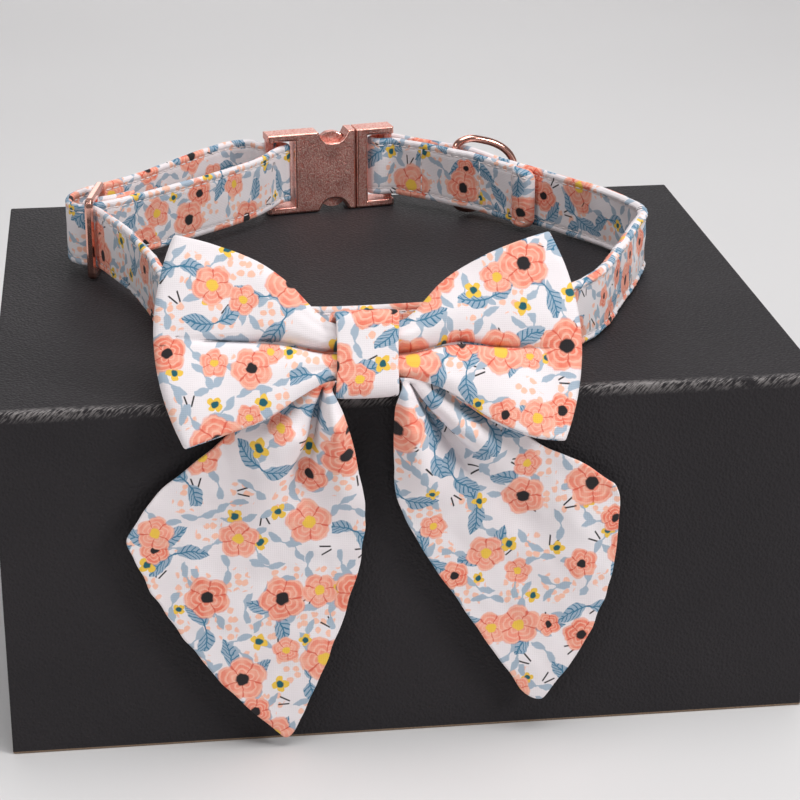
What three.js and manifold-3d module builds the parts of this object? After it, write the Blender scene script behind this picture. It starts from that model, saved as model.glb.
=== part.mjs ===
// Pet bow tie collar standing on a plain display box.
// Millimetres, +Z up. X runs from the middle of the box to the right, Y runs from its front to its back.
import * as THREE from 'three';
import { mergeVertices } from 'three/addons/utils/BufferGeometryUtils.js';
import Module from 'manifold-3d';

const wasm = await Module();
wasm.setup();

// Driving dimensions
const CLEARANCE = 0.3;
const BOX = { width: 232, depth: 196, height: 105, wall: 2.5 };
const ORIGIN_BEHIND_FRONT = 91;
const STRAP = { width: 20, thickness: 2.6, stepsPerPoint: 3 };
const STRAP_LEAN = { angle: 26.57, reach: 42, depth: 60 };
const WRAP_GAP = 0.45;
const CLOTH = 1.4;
const BUCKLE = { x: -6.2, y: 181.7, turn: 10, length: 44.6, height: 28, thickness: 8, split: 8.6, gap: 0.4 };
const BUCKLE_BAR = { width: 2.5, depth: 2.5, slot: 6.8, rail: 2.4 };
const SLIDER = { x: -86.1, y: 121.8, turn: 79.8, length: 23.4, height: 26.5, thickness: 2.6 };
const SLIDER_BAR = { width: 2.3, thickness: 1.8, rail: 2.5, corner: 2.6, bevel: 0.6 };
const D_RING = { x: 36.5, y: 168.6, turn: 10, wire: 2.6, innerWidth: 22.4, depth: 20.8 };
const D_RING_BEND = { roundness: 2.2, corner: 2, cornerAngle: 0.17 };
const BOW = { x: -12.5, y: 3.2, z: 115.5, lean: 26.57 };
const KNOT = { width: 19, left: -10.3, cornerRadius: 3.2, barrel: 0.5 };

const deckTop = BOX.height + CLEARANCE;
const degrees = THREE.MathUtils.degToRad;
const lerp = THREE.MathUtils.lerp;

// Smooth value of one column of a table, at a place along its first column
function readTable(rows, at, column) {
  const key = Object.keys(rows[0])[0];
  const last = rows.length - 1;
  let i = 0;
  while (i < last - 1 && at > rows[i + 1][key]) i += 1;
  const slope = (j) => {
    const before = rows[Math.max(j - 1, 0)];
    const after = rows[Math.min(j + 1, last)];
    return (after[column] - before[column]) / (after[key] - before[key]);
  };
  const span = rows[i + 1][key] - rows[i][key];
  const t = THREE.MathUtils.clamp((at - rows[i][key]) / span, 0, 1);
  const rise = rows[i + 1][column] - rows[i][column];
  const start = slope(i) * span;
  const end = slope(i + 1) * span;
  const bend = t ** 2 * (3 * rise - 2 * start - end) + t ** 3 * (start + end - 2 * rise);
  return rows[i][column] + t * start + bend;
}

// Solid through a run of sections, each a closed ring of points: front points, then back points in reverse
function loft(sections, isRing) {
  const count = sections[0].length;
  const points = sections.flat();
  const faces = [];
  const quad = (a, b, c, d) => faces.push([a, b, c], [a, c, d]);
  const bands = isRing ? sections.length : sections.length - 1;
  for (let i = 0; i < bands; i += 1) {
    const here = i * count;
    const next = ((i + 1) % sections.length) * count;
    for (let j = 0; j < count; j += 1) {
      const k = (j + 1) % count;
      quad(here + j, here + k, next + k, next + j);
    }
  }
  if (!isRing) {
    const end = (sections.length - 1) * count;
    for (let j = 0; j < count / 2 - 1; j += 1) {
      quad(j, count - 1 - j, count - 2 - j, j + 1);
      quad(end + j, end + j + 1, end + count - 2 - j, end + count - 1 - j);
    }
  }
  const cross = new THREE.Vector3();
  const volume = faces.reduce((sum, [a, b, c]) => {
    cross.crossVectors(points[b], points[c]);
    return sum + points[a].dot(cross);
  }, 0);
  const index = faces.flatMap(([a, b, c]) => (volume > 0 ? [a, b, c] : [a, c, b]));
  const geometry = new THREE.BufferGeometry().setFromPoints(points);
  geometry.setIndex(index);
  geometry.computeVertexNormals();
  return geometry;
}

// Point of a curved cloth, moved along its own normal
function offsetPoint(surface, a, b, distance) {
  const step = 0.004;
  const alongA = surface(a + step, b).sub(surface(a - step, b));
  const alongB = surface(a, b + step).sub(surface(a, b - step));
  const normal = alongA.cross(alongB).normalize();
  return surface(a, b).addScaledVector(normal, distance);
}

function toSolid(geometry) {
  const bare = geometry.clone();
  bare.deleteAttribute('normal');
  bare.deleteAttribute('uv');
  const merged = mergeVertices(bare, 1e-4);
  const vertProperties = new Float32Array(merged.getAttribute('position').array);
  const triVerts = new Uint32Array(merged.getIndex().array);
  return new wasm.Manifold(new wasm.Mesh({ numProp: 3, vertProperties, triVerts }));
}

function toGeometry(solid) {
  const { vertProperties, triVerts } = solid.getMesh();
  const geometry = new THREE.BufferGeometry();
  geometry.setAttribute('position', new THREE.BufferAttribute(vertProperties, 3));
  geometry.setIndex(new THREE.BufferAttribute(triVerts, 1));
  geometry.computeVertexNormals();
  return geometry;
}

// Block between two corners
function block(low, high) {
  const size = new THREE.Vector3().subVectors(high, low);
  const middle = new THREE.Vector3().addVectors(low, high).multiplyScalar(0.5);
  return new THREE.BoxGeometry(size.x, size.y, size.z).translate(middle.x, middle.y, middle.z);
}

// Plate of an outline drawn in length and height, standing upright with its thickness across Y
function uprightPlate(shape, thickness, bevel) {
  const geometry = new THREE.ExtrudeGeometry(shape, {
    depth: thickness - 2 * bevel,
    bevelEnabled: bevel > 0,
    bevelThickness: bevel,
    bevelSize: bevel,
    bevelOffset: -bevel,
    bevelSegments: 1,
    curveSegments: 4,
  });
  return geometry.translate(0, 0, bevel - thickness / 2).rotateX(Math.PI / 2);
}

function outline(points) {
  return points.map(([length, height]) => new THREE.Vector2(length, height));
}

function rectangle(left, right, bottom, top) {
  return outline([[left, bottom], [right, bottom], [right, top], [left, top]]);
}

const collar = new THREE.Group();
const table = new THREE.Group();
table.position.y = -ORIGIN_BEHIND_FRONT;
collar.add(table);

function addPart(name, geometry, finish) {
  const mesh = new THREE.Mesh(geometry, new THREE.MeshStandardMaterial(finish));
  mesh.name = name;
  table.add(mesh);
  return mesh;
}

const COTTON = { color: 0xf3e6e2, roughness: 0.85, metalness: 0 };
const ROSE_GOLD = { color: 0xc98f7f, roughness: 0.3, metalness: 1 };
const BLACK_CARD = { color: 0x1f1d1e, roughness: 0.6, metalness: 0 };

// Display box: an upturned card box with four walls, a closed top and an open underside
function displayBox() {
  const half = BOX.width / 2;
  const outside = block(new THREE.Vector3(-half, 0, 0), new THREE.Vector3(half, BOX.depth, BOX.height));
  const inside = block(
    new THREE.Vector3(BOX.wall - half, BOX.wall, -BOX.wall),
    new THREE.Vector3(half - BOX.wall, BOX.depth - BOX.wall, BOX.height - BOX.wall),
  );
  return toGeometry(toSolid(outside).subtract(toSolid(inside)));
}

addPart('display_box', displayBox(), BLACK_CARD);

// Strap: its plan route, with the height of its lower edge above the box at each point
const buckleAngle = degrees(BUCKLE.turn);
const barPlace = BUCKLE.length / 2 - BUCKLE_BAR.width / 2;
const buckleLift = (BUCKLE.height - STRAP.width) / 2;
const sliderLift = (SLIDER.height - STRAP.width) / 2;

function buckleBar(side) {
  return {
    x: BUCKLE.x + side * barPlace * Math.cos(buckleAngle),
    y: BUCKLE.y + side * barPlace * Math.sin(buckleAngle),
    lift: buckleLift,
  };
}

// Half turn of the strap round a bar, from one angle to another
// Reach is along the line of the buckle or slider, wrap is across it
function turnRound(bar, { reach, wrap }, line, { from, to }) {
  const points = 5;
  const cosLine = Math.cos(degrees(line));
  const sinLine = Math.sin(degrees(line));
  return Array.from({ length: points }, (_, i) => {
    const angle = degrees(lerp(from, to, i / (points - 1)));
    const along = reach * Math.cos(angle);
    const aside = wrap * Math.sin(angle);
    return {
      x: bar.x + along * cosLine - aside * sinLine,
      y: bar.y + along * sinLine + aside * cosLine,
      lift: bar.lift,
    };
  });
}

const maleBar = buckleBar(1);
const femaleBar = buckleBar(-1);
const sliderBar = { x: SLIDER.x, y: SLIDER.y, lift: sliderLift };
const buckleWrap = Math.hypot(BUCKLE_BAR.width, BUCKLE_BAR.depth) / 2 + WRAP_GAP + STRAP.thickness / 2;
const buckleReach = BUCKLE_BAR.width / 2 + BUCKLE_BAR.slot - WRAP_GAP - STRAP.thickness / 2;
const onBuckle = { reach: buckleReach, wrap: buckleWrap };
const sliderWrap = SLIDER_BAR.width / 2 + WRAP_GAP + STRAP.thickness / 2;
const onSlider = { reach: sliderWrap, wrap: sliderWrap };
const ringLift = D_RING.wire + (D_RING.innerWidth - STRAP.width) / 2;

// Sewn flap beside the buckle: its seam, and half the distance between the middles of its two layers
const FLAP = [
  { x: 22.5, y: 180.2, lift: 3.9, halfGap: 2.1 },
  { x: 30.5, y: 173.9, lift: ringLift, halfGap: 2.1 },
  { x: D_RING.x, y: D_RING.y, lift: ringLift, halfGap: 3.1 },
  { x: 42.6, y: 163.3, lift: ringLift - 0.5, halfGap: 2 },
  { x: 50, y: 156.8, lift: 2, halfGap: 1.5 },
  { x: 60.5, y: 147, lift: 0.8, halfGap: 1.48 },
];
const flapNormal = new THREE.Vector2(0.66, 0.75);

function flapLayer(side) {
  return FLAP.map(({ x, y, lift, halfGap }) => ({
    x: x + side * halfGap * flapNormal.x,
    y: y + side * halfGap * flapNormal.y,
    lift,
  }));
}

// Single strap from the flap round the right side, the front and the left side to the slider
const NECK_RUN = [
  { x: 69.8, y: 138.7, lift: 0 },
  { x: 77, y: 128, lift: 0 },
  { x: 83.8, y: 113.6, lift: 0 },
  { x: 86.2, y: 102.4, lift: 0 },
  { x: 80.2, y: 86, lift: 0 },
  { x: 68.5, y: 59.8, lift: 0 },
  { x: 62, y: 45.6, lift: 0 },
  { x: 52, y: 32.2, lift: 0 },
  { x: 38, y: 22.6, lift: 0 },
  { x: 20, y: 19.6, lift: 0 },
  { x: -2, y: 18.6, lift: 0 },
  { x: -24, y: 18.7, lift: 0 },
  { x: -40, y: 22.6, lift: 0 },
  { x: -55, y: 32.6, lift: 0 },
  { x: -64.6, y: 48, lift: 0 },
  { x: -70, y: 73, lift: 0.6 },
  { x: -76, y: 93, lift: 2 },
  { x: -82, y: 105.6, lift: 3.2 },
];

// Strap through the slider's near slot and on as the outer layer of the doubled length
const OUTER_RUN = [
  { x: -83.8, y: 110.8, lift: 3 },
  { x: -86.6, y: 115.4, lift: 3.25 },
  { x: -91.2, y: 117.9, lift: 3.25 },
  { x: -94, y: 122.4, lift: 3.25 },
  { x: -93.6, y: 129.6, lift: 3.25 },
  { x: -89, y: 136.4, lift: 3.25 },
  { x: -80.6, y: 143.6, lift: 3.2 },
  { x: -71, y: 153.6, lift: 3 },
  { x: -59, y: 167.6, lift: 3.2 },
  { x: -48, y: 179.4, lift: 3.5 },
  { x: -40, y: 185.6, lift: 3.8 },
  { x: -33, y: 186.4, lift: 3.9 },
];

// Inner layer of the doubled length, back to the slider's middle bar
const INNER_RUN = [
  { x: -31.5, y: 163.6, lift: 3.6 },
  { x: -40.6, y: 154.4, lift: 3.3 },
  { x: -56, y: 141.3, lift: 3.1 },
  { x: -71.5, y: 128.9, lift: 3.1 },
  { x: -79.6, y: 122.2, lift: sliderLift },
];

// End of the strap, sewn back on the inner layer
const SEWN_END = [
  { x: -80.6, y: 127, lift: sliderLift },
  { x: -73.6, y: 131.8, lift: 3.1 },
];

// Plan angles between which the strap lies on each bar, measured from the line of its buckle or slider
const ON_MALE_BAR = { from: -80, to: -280 };
const ON_FEMALE_BAR = { from: 105, to: -65 };
const ON_SLIDER_BAR = { from: -190, to: -350 };

const strapRoute = [
  ...flapLayer(-1).reverse(),
  ...turnRound(maleBar, onBuckle, BUCKLE.turn, ON_MALE_BAR),
  ...flapLayer(1),
  ...NECK_RUN,
  ...OUTER_RUN,
  ...turnRound(femaleBar, onBuckle, BUCKLE.turn, ON_FEMALE_BAR),
  ...INNER_RUN,
  ...turnRound(sliderBar, onSlider, SLIDER.turn, ON_SLIDER_BAR),
  ...SEWN_END,
];

// The strap leans back with the bow where it passes behind it
function strapLean({ x, y }) {
  const aside = (x - BOW.x) / STRAP_LEAN.reach;
  return y < STRAP_LEAN.depth ? degrees(STRAP_LEAN.angle) * Math.exp(-(aside ** 4)) : 0;
}

function strapSections() {
  const route = strapRoute.map(({ x, y, lift }) => new THREE.Vector3(x, y, lift));
  const curve = new THREE.CatmullRomCurve3(route, false, 'centripetal');
  const steps = (route.length - 1) * STRAP.stepsPerPoint;
  return Array.from({ length: steps + 1 }, (_, i) => {
    const place = curve.getPoint(i / steps);
    const tangent = curve.getTangent(i / steps);
    const outward = new THREE.Vector3(-tangent.y, tangent.x, 0).normalize();
    const lean = strapLean(place);
    const across = outward.clone().multiplyScalar(Math.cos(lean));
    across.z = Math.sin(lean);
    const up = outward.clone().multiplyScalar(-Math.sin(lean));
    up.z = Math.cos(lean);
    const rise = Math.cos(lean) * STRAP.width / 2 + Math.sin(lean) * STRAP.thickness / 2;
    const middle = new THREE.Vector3(place.x, place.y, deckTop + place.z + rise);
    const corners = [[-1, -1], [-1, 1], [1, 1], [1, -1]];
    return corners.map(([side, top]) => middle.clone()
      .addScaledVector(across, side * STRAP.thickness / 2)
      .addScaledVector(up, top * STRAP.width / 2));
  });
}

addPart('strap', loft(strapSections(), false), COTTON);

// Buckle: two flat metal halves, fastened. Length runs along the strap, height across it
const halfBuckle = BUCKLE.length / 2;
const BUCKLE_BEVEL = 0.5;
const WINDOW = { middle: 0.85, half: 5.35, depth: 4.2, fullness: 3 };
const PRONG_THICKNESS = 2.8;
const POCKET = { end: -9, wall: 2.2, thickness: PRONG_THICKNESS + 2 * CLEARANCE };
const CUT_PAST = 1;

// Lower spring arm and middle tongue of the male half, along the buckle and up from its lower edge
const ARM = [
  { length: 10, height: 3.3 },
  { length: 10, height: 5.4 },
  { length: -5.5, height: 5.4 },
  { length: -5.5, height: 3.5 },
  { length: -3.2, height: 2.7 },
  { length: -2.4, height: 1.7 },
  { length: -1, height: 0.9 },
  { length: 0.85, height: 0.6 },
  { length: 2.6, height: 0.9 },
  { length: 4, height: 1.7 },
  { length: 4.8, height: 2.7 },
];
const TONGUE = [
  { length: -8, height: 11.5 },
  { length: -7, height: 10.5 },
  { length: 10, height: 10.5 },
  { length: 10, height: 17.5 },
  { length: -7, height: 17.5 },
  { length: -8, height: 16.5 },
];

// Strap slot at the end of a half, between its end bar and its body
function strapSlot(side) {
  const bar = side * (halfBuckle - BUCKLE_BAR.width);
  const body = side * (halfBuckle - BUCKLE_BAR.width - BUCKLE_BAR.slot);
  const low = BUCKLE_BAR.rail;
  const high = BUCKLE.height - BUCKLE_BAR.rail;
  return new THREE.Path(rectangle(Math.min(bar, body), Math.max(bar, body), low, high));
}

// Thins the end bar from both faces so that the strap lies nearly flush round it
function thinBar(solid, side) {
  const inner = side * (halfBuckle - BUCKLE_BAR.width);
  const outer = side * (halfBuckle + CUT_PAST);
  const low = new THREE.Vector3(Math.min(inner, outer), 0, BUCKLE_BAR.rail);
  const high = new THREE.Vector3(Math.max(inner, outer), 0, BUCKLE.height - BUCKLE_BAR.rail);
  const depth = BUCKLE_BAR.depth / 2;
  const face = BUCKLE.thickness / 2 + CUT_PAST;
  low.y = depth;
  high.y = face;
  const back = toSolid(block(low, high));
  low.y = -face;
  high.y = -depth;
  const front = toSolid(block(low, high));
  return solid.subtract(back).subtract(front);
}

function buckleFemale() {
  const top = BUCKLE.height;
  const { middle, half, depth, fullness } = WINDOW;
  const steps = 10;
  const dip = Array.from({ length: steps + 1 }, (_, i) => {
    const share = lerp(-1, 1, i / steps);
    return [middle + half * share, depth * (1 - Math.abs(share) ** fullness)];
  });
  const edge = [[-halfBuckle, 0], ...dip];
  const shape = new THREE.Shape(outline([
    ...edge,
    [BUCKLE.split, 0],
    [BUCKLE.split, top],
    ...edge.slice(1).reverse().map(([length, height]) => [length, top - height]),
    [-halfBuckle, top],
  ]));
  shape.holes.push(strapSlot(-1));
  const body = toSolid(uprightPlate(shape, BUCKLE.thickness, BUCKLE_BEVEL));
  const pocket = block(
    new THREE.Vector3(POCKET.end, -POCKET.thickness / 2, POCKET.wall),
    new THREE.Vector3(BUCKLE.split + CUT_PAST, POCKET.thickness / 2, top - POCKET.wall),
  );
  return toGeometry(thinBar(body.subtract(toSolid(pocket)), -1));
}

function buckleMale() {
  const top = BUCKLE.height;
  const start = BUCKLE.split + BUCKLE.gap;
  const frame = new THREE.Shape(rectangle(start, halfBuckle, 0, top));
  frame.holes.push(strapSlot(1));
  const lowerArm = ARM.map(({ length, height }) => [length, height]);
  const upperArm = ARM.map(({ length, height }) => [length, top - height]).reverse();
  const tongue = TONGUE.map(({ length, height }) => [length, height]);
  const prongs = [lowerArm, upperArm, tongue].map((points) => {
    const shape = new THREE.Shape(outline(points));
    return toSolid(uprightPlate(shape, PRONG_THICKNESS, 0));
  });
  const body = thinBar(toSolid(uprightPlate(frame, BUCKLE.thickness, BUCKLE_BEVEL)), 1);
  return toGeometry(prongs.reduce((whole, prong) => whole.add(prong), body));
}

function placeOnBox(mesh, { x, y, turn }, lift = 0) {
  mesh.position.set(x, y, deckTop + lift);
  mesh.rotation.z = degrees(turn);
}

placeOnBox(addPart('buckle_female', buckleFemale(), ROSE_GOLD), BUCKLE);
placeOnBox(addPart('buckle_male', buckleMale(), ROSE_GOLD), BUCKLE);

// Slider: flat frame with a middle bar
function roundedCorners(length, height, radius) {
  const half = length / 2 - radius;
  const top = height - radius;
  const centres = [[half, radius, -90], [half, top, 0], [-half, top, 90], [-half, radius, 180]];
  const steps = 3;
  return centres.flatMap(([along, up, from]) => Array.from({ length: steps + 1 }, (_, i) => {
    const angle = degrees(from + 90 * i / steps);
    return [along + radius * Math.cos(angle), up + radius * Math.sin(angle)];
  }));
}

function sliderFrame() {
  const { width, rail, corner, bevel, thickness } = SLIDER_BAR;
  const shape = new THREE.Shape(outline(roundedCorners(SLIDER.length, SLIDER.height, corner)));
  const outer = SLIDER.length / 2 - width;
  shape.holes.push(new THREE.Path(rectangle(-outer, outer, rail, SLIDER.height - rail)));
  const frame = toSolid(uprightPlate(shape, SLIDER.thickness, bevel));
  const middle = new THREE.Shape(rectangle(-width / 2, width / 2, rail / 2, SLIDER.height - rail / 2));
  const bar = toSolid(uprightPlate(middle, thickness, bevel));
  return toGeometry(frame.add(bar));
}

placeOnBox(addPart('slider', sliderFrame(), ROSE_GOLD), SLIDER);

// D-ring: round wire bent into a straight bar and an arch, standing upright
function dRing() {
  const { roundness, corner, cornerAngle } = D_RING_BEND;
  const half = (D_RING.innerWidth + D_RING.wire) / 2;
  const archPoints = 12;
  const barPoints = 5;
  const power = 2 / roundness;
  const arch = Array.from({ length: archPoints }, (_, i) => {
    const angle = lerp(cornerAngle, Math.PI - cornerAngle, i / (archPoints - 1));
    const reach = D_RING.depth * Math.sin(angle) ** power;
    const height = half * Math.sign(Math.cos(angle)) * Math.abs(Math.cos(angle)) ** power;
    return new THREE.Vector3(reach, 0, height);
  });
  const bar = Array.from({ length: barPoints }, (_, i) => {
    return new THREE.Vector3(0, 0, lerp(corner - half, half - corner, i / (barPoints - 1)));
  });
  const path = new THREE.CatmullRomCurve3([...arch, ...bar], true, 'centripetal');
  const sections = 44;
  const sides = 8;
  return loft(Array.from({ length: sections }, (_, i) => {
    const place = path.getPointAt(i / sections);
    const tangent = path.getTangentAt(i / sections);
    const inPlane = new THREE.Vector3(-tangent.z, 0, tangent.x);
    return Array.from({ length: sides }, (__, j) => {
      const angle = 2 * Math.PI * j / sides;
      return place.clone()
        .addScaledVector(inPlane, Math.cos(angle) * D_RING.wire / 2)
        .add(new THREE.Vector3(0, Math.sin(angle) * D_RING.wire / 2, 0));
    });
  }), true);
}

placeOnBox(addPart('d_ring', dRing(), ROSE_GOLD), D_RING, D_RING.innerWidth / 2 + D_RING.wire);

// Bow: built on a plane that leans back. Across is X, up follows the lean, out is towards the front
const bowLean = degrees(BOW.lean);
const bowUp = new THREE.Vector3(0, Math.sin(bowLean), Math.cos(bowLean));
const bowOut = new THREE.Vector3(0, -Math.cos(bowLean), Math.sin(bowLean));

function bowPlace(across, up, out) {
  const foot = new THREE.Vector3(BOW.x + across, BOW.y, BOW.z);
  return foot.addScaledVector(bowUp, up).addScaledVector(bowOut, out);
}

// Upper and lower edge of each wing at a distance from the middle
const LEFT_WING = [
  { reach: 0, top: 8.9, bottom: -5.2 },
  { reach: 10.8, top: 9.4, bottom: -5.4 },
  { reach: 21.5, top: 20.8, bottom: -11.2 },
  { reach: 30, top: 27.4, bottom: -16.4 },
  { reach: 42, top: 32.6, bottom: -20.2 },
  { reach: 53, top: 36, bottom: -23.5 },
];
const RIGHT_WING = [
  { reach: 0, top: 8.9, bottom: -5.2 },
  { reach: 10.8, top: 9.4, bottom: -5.4 },
  { reach: 22, top: 20, bottom: -11 },
  { reach: 33, top: 26.2, bottom: -19.6 },
  { reach: 44, top: 30.4, bottom: -24.6 },
  { reach: 53, top: 33, bottom: -26.2 },
];
const WING_END = { left: 51, right: 52.2, bulge: 6.9 };
const WING_FOLD = { crease: 0.45, width: 0.17, softness: 0.085, depth: 3.6, endDepth: 0.54, taper: 1.2 };
const WING_LAYERS = { gap: 1.75, turnSharpness: 5, lowerPush: 4, pushReach: 3 };

// Lobes above and below the crease, flat at the upper and lower edges
function lobeShape(height) {
  const { crease, width, softness } = WING_FOLD;
  const away = Math.hypot(height - crease, softness) - softness;
  const edge = Math.abs(2 * height - 1) ** 4;
  return (1 - Math.exp(-away / width)) * (1 - edge);
}

// Middle of the band's wall: turn goes once round the band, height from its lower to its upper edge
function bowSurface(turn, height) {
  const along = Math.cos(turn);
  const side = Math.tanh(WING_LAYERS.turnSharpness * Math.sin(turn));
  const wing = along < 0 ? LEFT_WING : RIGHT_WING;
  const endBow = 1 - (2 * height - 1) ** 2;
  const end = (along < 0 ? WING_END.left : WING_END.right) + WING_END.bulge * endBow;
  const across = along * end;
  const reach = Math.abs(along) * WING_END.right;
  const up = lerp(readTable(wing, reach, 'bottom'), readTable(wing, reach, 'top'), height);
  const near = (1 - Math.abs(along)) ** WING_FOLD.taper;
  const lobe = (WING_FOLD.endDepth + WING_FOLD.depth * near) * lobeShape(height);
  const pushed = Math.min(1, WING_LAYERS.pushReach * Math.abs(along));
  const push = WING_LAYERS.lowerPush * (1 - height) ** 2 * pushed;
  return bowPlace(across, up, push + side * (WING_LAYERS.gap + lobe));
}

function bowLoops() {
  const turns = 44;
  const rows = 12;
  return loft(Array.from({ length: turns }, (_, i) => {
    const turn = 2 * Math.PI * (i + 0.5) / turns;
    const wall = (distance) => Array.from({ length: rows + 1 }, (__, j) => {
      return offsetPoint(bowSurface, turn, j / rows, distance);
    });
    return [...wall(CLOTH / 2), ...wall(-CLOTH / 2).reverse()];
  }), true);
}

addPart('bow_loops', bowLoops(), COTTON);

// Knot: a band of cloth round the pinch, its corners in the bow's own plane, seen from the side
const KNOT_CORNERS = [
  { out: 7.7, up: -13 },
  { out: 7.7, up: 11.9 },
  { out: -11.5, up: 11.2 },
  { out: -11.5, up: -4.4 },
];

function knotOutline() {
  const steps = 4;
  return KNOT_CORNERS.flatMap((corner, i) => {
    const here = new THREE.Vector2(corner.out, corner.up);
    const towards = (other) => {
      const there = new THREE.Vector2(other.out, other.up);
      return there.sub(here).normalize().multiplyScalar(KNOT.cornerRadius).add(here);
    };
    const before = towards(KNOT_CORNERS[(i + 3) % 4]);
    const after = towards(KNOT_CORNERS[(i + 1) % 4]);
    const bend = new THREE.QuadraticBezierCurve(before, here, after);
    return bend.getPoints(steps);
  });
}

function bowKnot() {
  const ring = knotOutline();
  const left = KNOT.left;
  const right = KNOT.left + KNOT.width;
  const middle = (left + right) / 2;
  return loft(ring.map((point, i) => {
    const before = ring[(i + ring.length - 1) % ring.length];
    const after = ring[(i + 1) % ring.length];
    const along = after.clone().sub(before).normalize();
    const inward = new THREE.Vector2(-along.y, along.x);
    const inner = point.clone().addScaledVector(inward, CLOTH);
    const crown = point.clone().addScaledVector(inward, -KNOT.barrel);
    const core = inner.clone().addScaledVector(inward, -KNOT.barrel);
    return [
      bowPlace(left, point.y, point.x),
      bowPlace(middle, crown.y, crown.x),
      bowPlace(right, point.y, point.x),
      bowPlace(right, inner.y, inner.x),
      bowPlace(middle, core.y, core.x),
      bowPlace(left, inner.y, inner.x),
    ];
  }), true);
}

addPart('bow_knot', bowKnot(), COTTON);

// Tails: rows of cloth from the knot to the slanting end, each from its left edge to its right edge
const LEFT_TAIL = [
  { down: 0, leftX: -21.8, leftZ: 111.4, rightX: -20.4, rightZ: 110.8, y: -4.9, pleat: 0.2 },
  { down: 0.06, leftX: -26, leftZ: 110.2, rightX: -25.2, rightZ: 109.4, y: -4.8, pleat: 0.4 },
  { down: 0.14, leftX: -32.4, leftZ: 105.2, rightX: -24.6, rightZ: 102.2, y: -4.4, pleat: 1.2 },
  { down: 0.3, leftX: -45.4, leftZ: 97.8, rightX: -17.6, rightZ: 90, y: -4.2, pleat: 2 },
  { down: 0.55, leftX: -61, leftZ: 89.4, rightX: -14.6, rightZ: 68, y: -4.6, pleat: 2.2 },
  { down: 0.8, leftX: -73, leftZ: 79.8, rightX: -20.4, rightZ: 42, y: -5.2, pleat: 2 },
  { down: 1, leftX: -81.4, leftZ: 67, rightX: -36.4, rightZ: 2.8, y: -6, pleat: 1.6 },
];
const RIGHT_TAIL = [
  { down: 0, leftX: -6.2, leftZ: 110.8, rightX: -4.8, rightZ: 111.4, y: -4.9, pleat: 0.2 },
  { down: 0.06, leftX: -1.4, leftZ: 109.4, rightX: -0.6, rightZ: 110.2, y: -4.8, pleat: 0.4 },
  { down: 0.14, leftX: -2, leftZ: 102.2, rightX: 6.4, rightZ: 105.6, y: -4.4, pleat: 1.2 },
  { down: 0.3, leftX: -6, leftZ: 88, rightX: 20, rightZ: 99, y: -4.2, pleat: 2 },
  { down: 0.55, leftX: -4.2, leftZ: 72, rightX: 36, rightZ: 88.4, y: -4.6, pleat: 2.2 },
  { down: 0.8, leftX: 8.6, leftZ: 48.6, rightX: 48.4, rightZ: 82.8, y: -5.2, pleat: 2 },
  { down: 1, leftX: 34.2, leftZ: 10, rightX: 57, rightZ: 77, y: -6, pleat: 1.6 },
];
// How far the middle of each tail's slanting end bulges
const LEFT_BELLY = { x: -3.7, z: -2.7 };
const RIGHT_BELLY = { x: 7.9, z: -2.7 };
const TAIL_PLEATS = 2;

function tailSurface(rows, belly) {
  return (down, across) => {
    const at = (column) => readTable(rows, down, column);
    const wave = Math.cos(2 * Math.PI * TAIL_PLEATS * across + Math.PI);
    const bulge = 4 * across * (1 - across) * down ** 3;
    return new THREE.Vector3(
      lerp(at('leftX'), at('rightX'), across) + belly.x * bulge,
      at('y') + at('pleat') * wave * Math.sin(Math.PI * across) ** 0.5,
      lerp(at('leftZ'), at('rightZ'), across) + belly.z * bulge,
    );
  };
}

function tail(rows, belly) {
  const lengths = 12;
  const widths = 12;
  const surface = tailSurface(rows, belly);
  const inset = 0.01;
  return loft(Array.from({ length: lengths + 1 }, (_, i) => {
    const down = lerp(inset, 1 - inset, i / lengths);
    const wall = (distance) => Array.from({ length: widths + 1 }, (__, j) => {
      return offsetPoint(surface, down, lerp(inset, 1 - inset, j / widths), distance);
    });
    return [...wall(CLOTH / 2), ...wall(-CLOTH / 2).reverse()];
  }), false);
}

addPart('tail_left', tail(LEFT_TAIL, LEFT_BELLY), COTTON);
addPart('tail_right', tail(RIGHT_TAIL, RIGHT_BELLY), COTTON);

export default collar;
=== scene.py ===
import math

import bpy
import numpy as np
from mathutils import Matrix, Vector


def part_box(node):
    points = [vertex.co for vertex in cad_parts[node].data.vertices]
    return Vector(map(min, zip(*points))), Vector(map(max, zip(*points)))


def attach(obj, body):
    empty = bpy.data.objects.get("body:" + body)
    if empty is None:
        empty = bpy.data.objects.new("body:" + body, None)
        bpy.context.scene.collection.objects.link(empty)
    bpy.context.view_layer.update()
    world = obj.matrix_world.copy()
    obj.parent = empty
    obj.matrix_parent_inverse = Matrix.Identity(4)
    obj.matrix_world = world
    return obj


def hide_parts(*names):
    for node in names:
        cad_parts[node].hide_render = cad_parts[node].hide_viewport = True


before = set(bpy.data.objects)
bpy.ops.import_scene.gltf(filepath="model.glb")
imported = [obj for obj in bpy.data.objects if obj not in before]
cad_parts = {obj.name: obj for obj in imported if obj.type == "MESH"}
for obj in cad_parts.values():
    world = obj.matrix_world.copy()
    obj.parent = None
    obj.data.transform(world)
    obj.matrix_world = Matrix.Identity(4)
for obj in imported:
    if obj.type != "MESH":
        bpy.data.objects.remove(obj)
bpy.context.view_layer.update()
scene = bpy.context.scene

MM = 0.001

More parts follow.
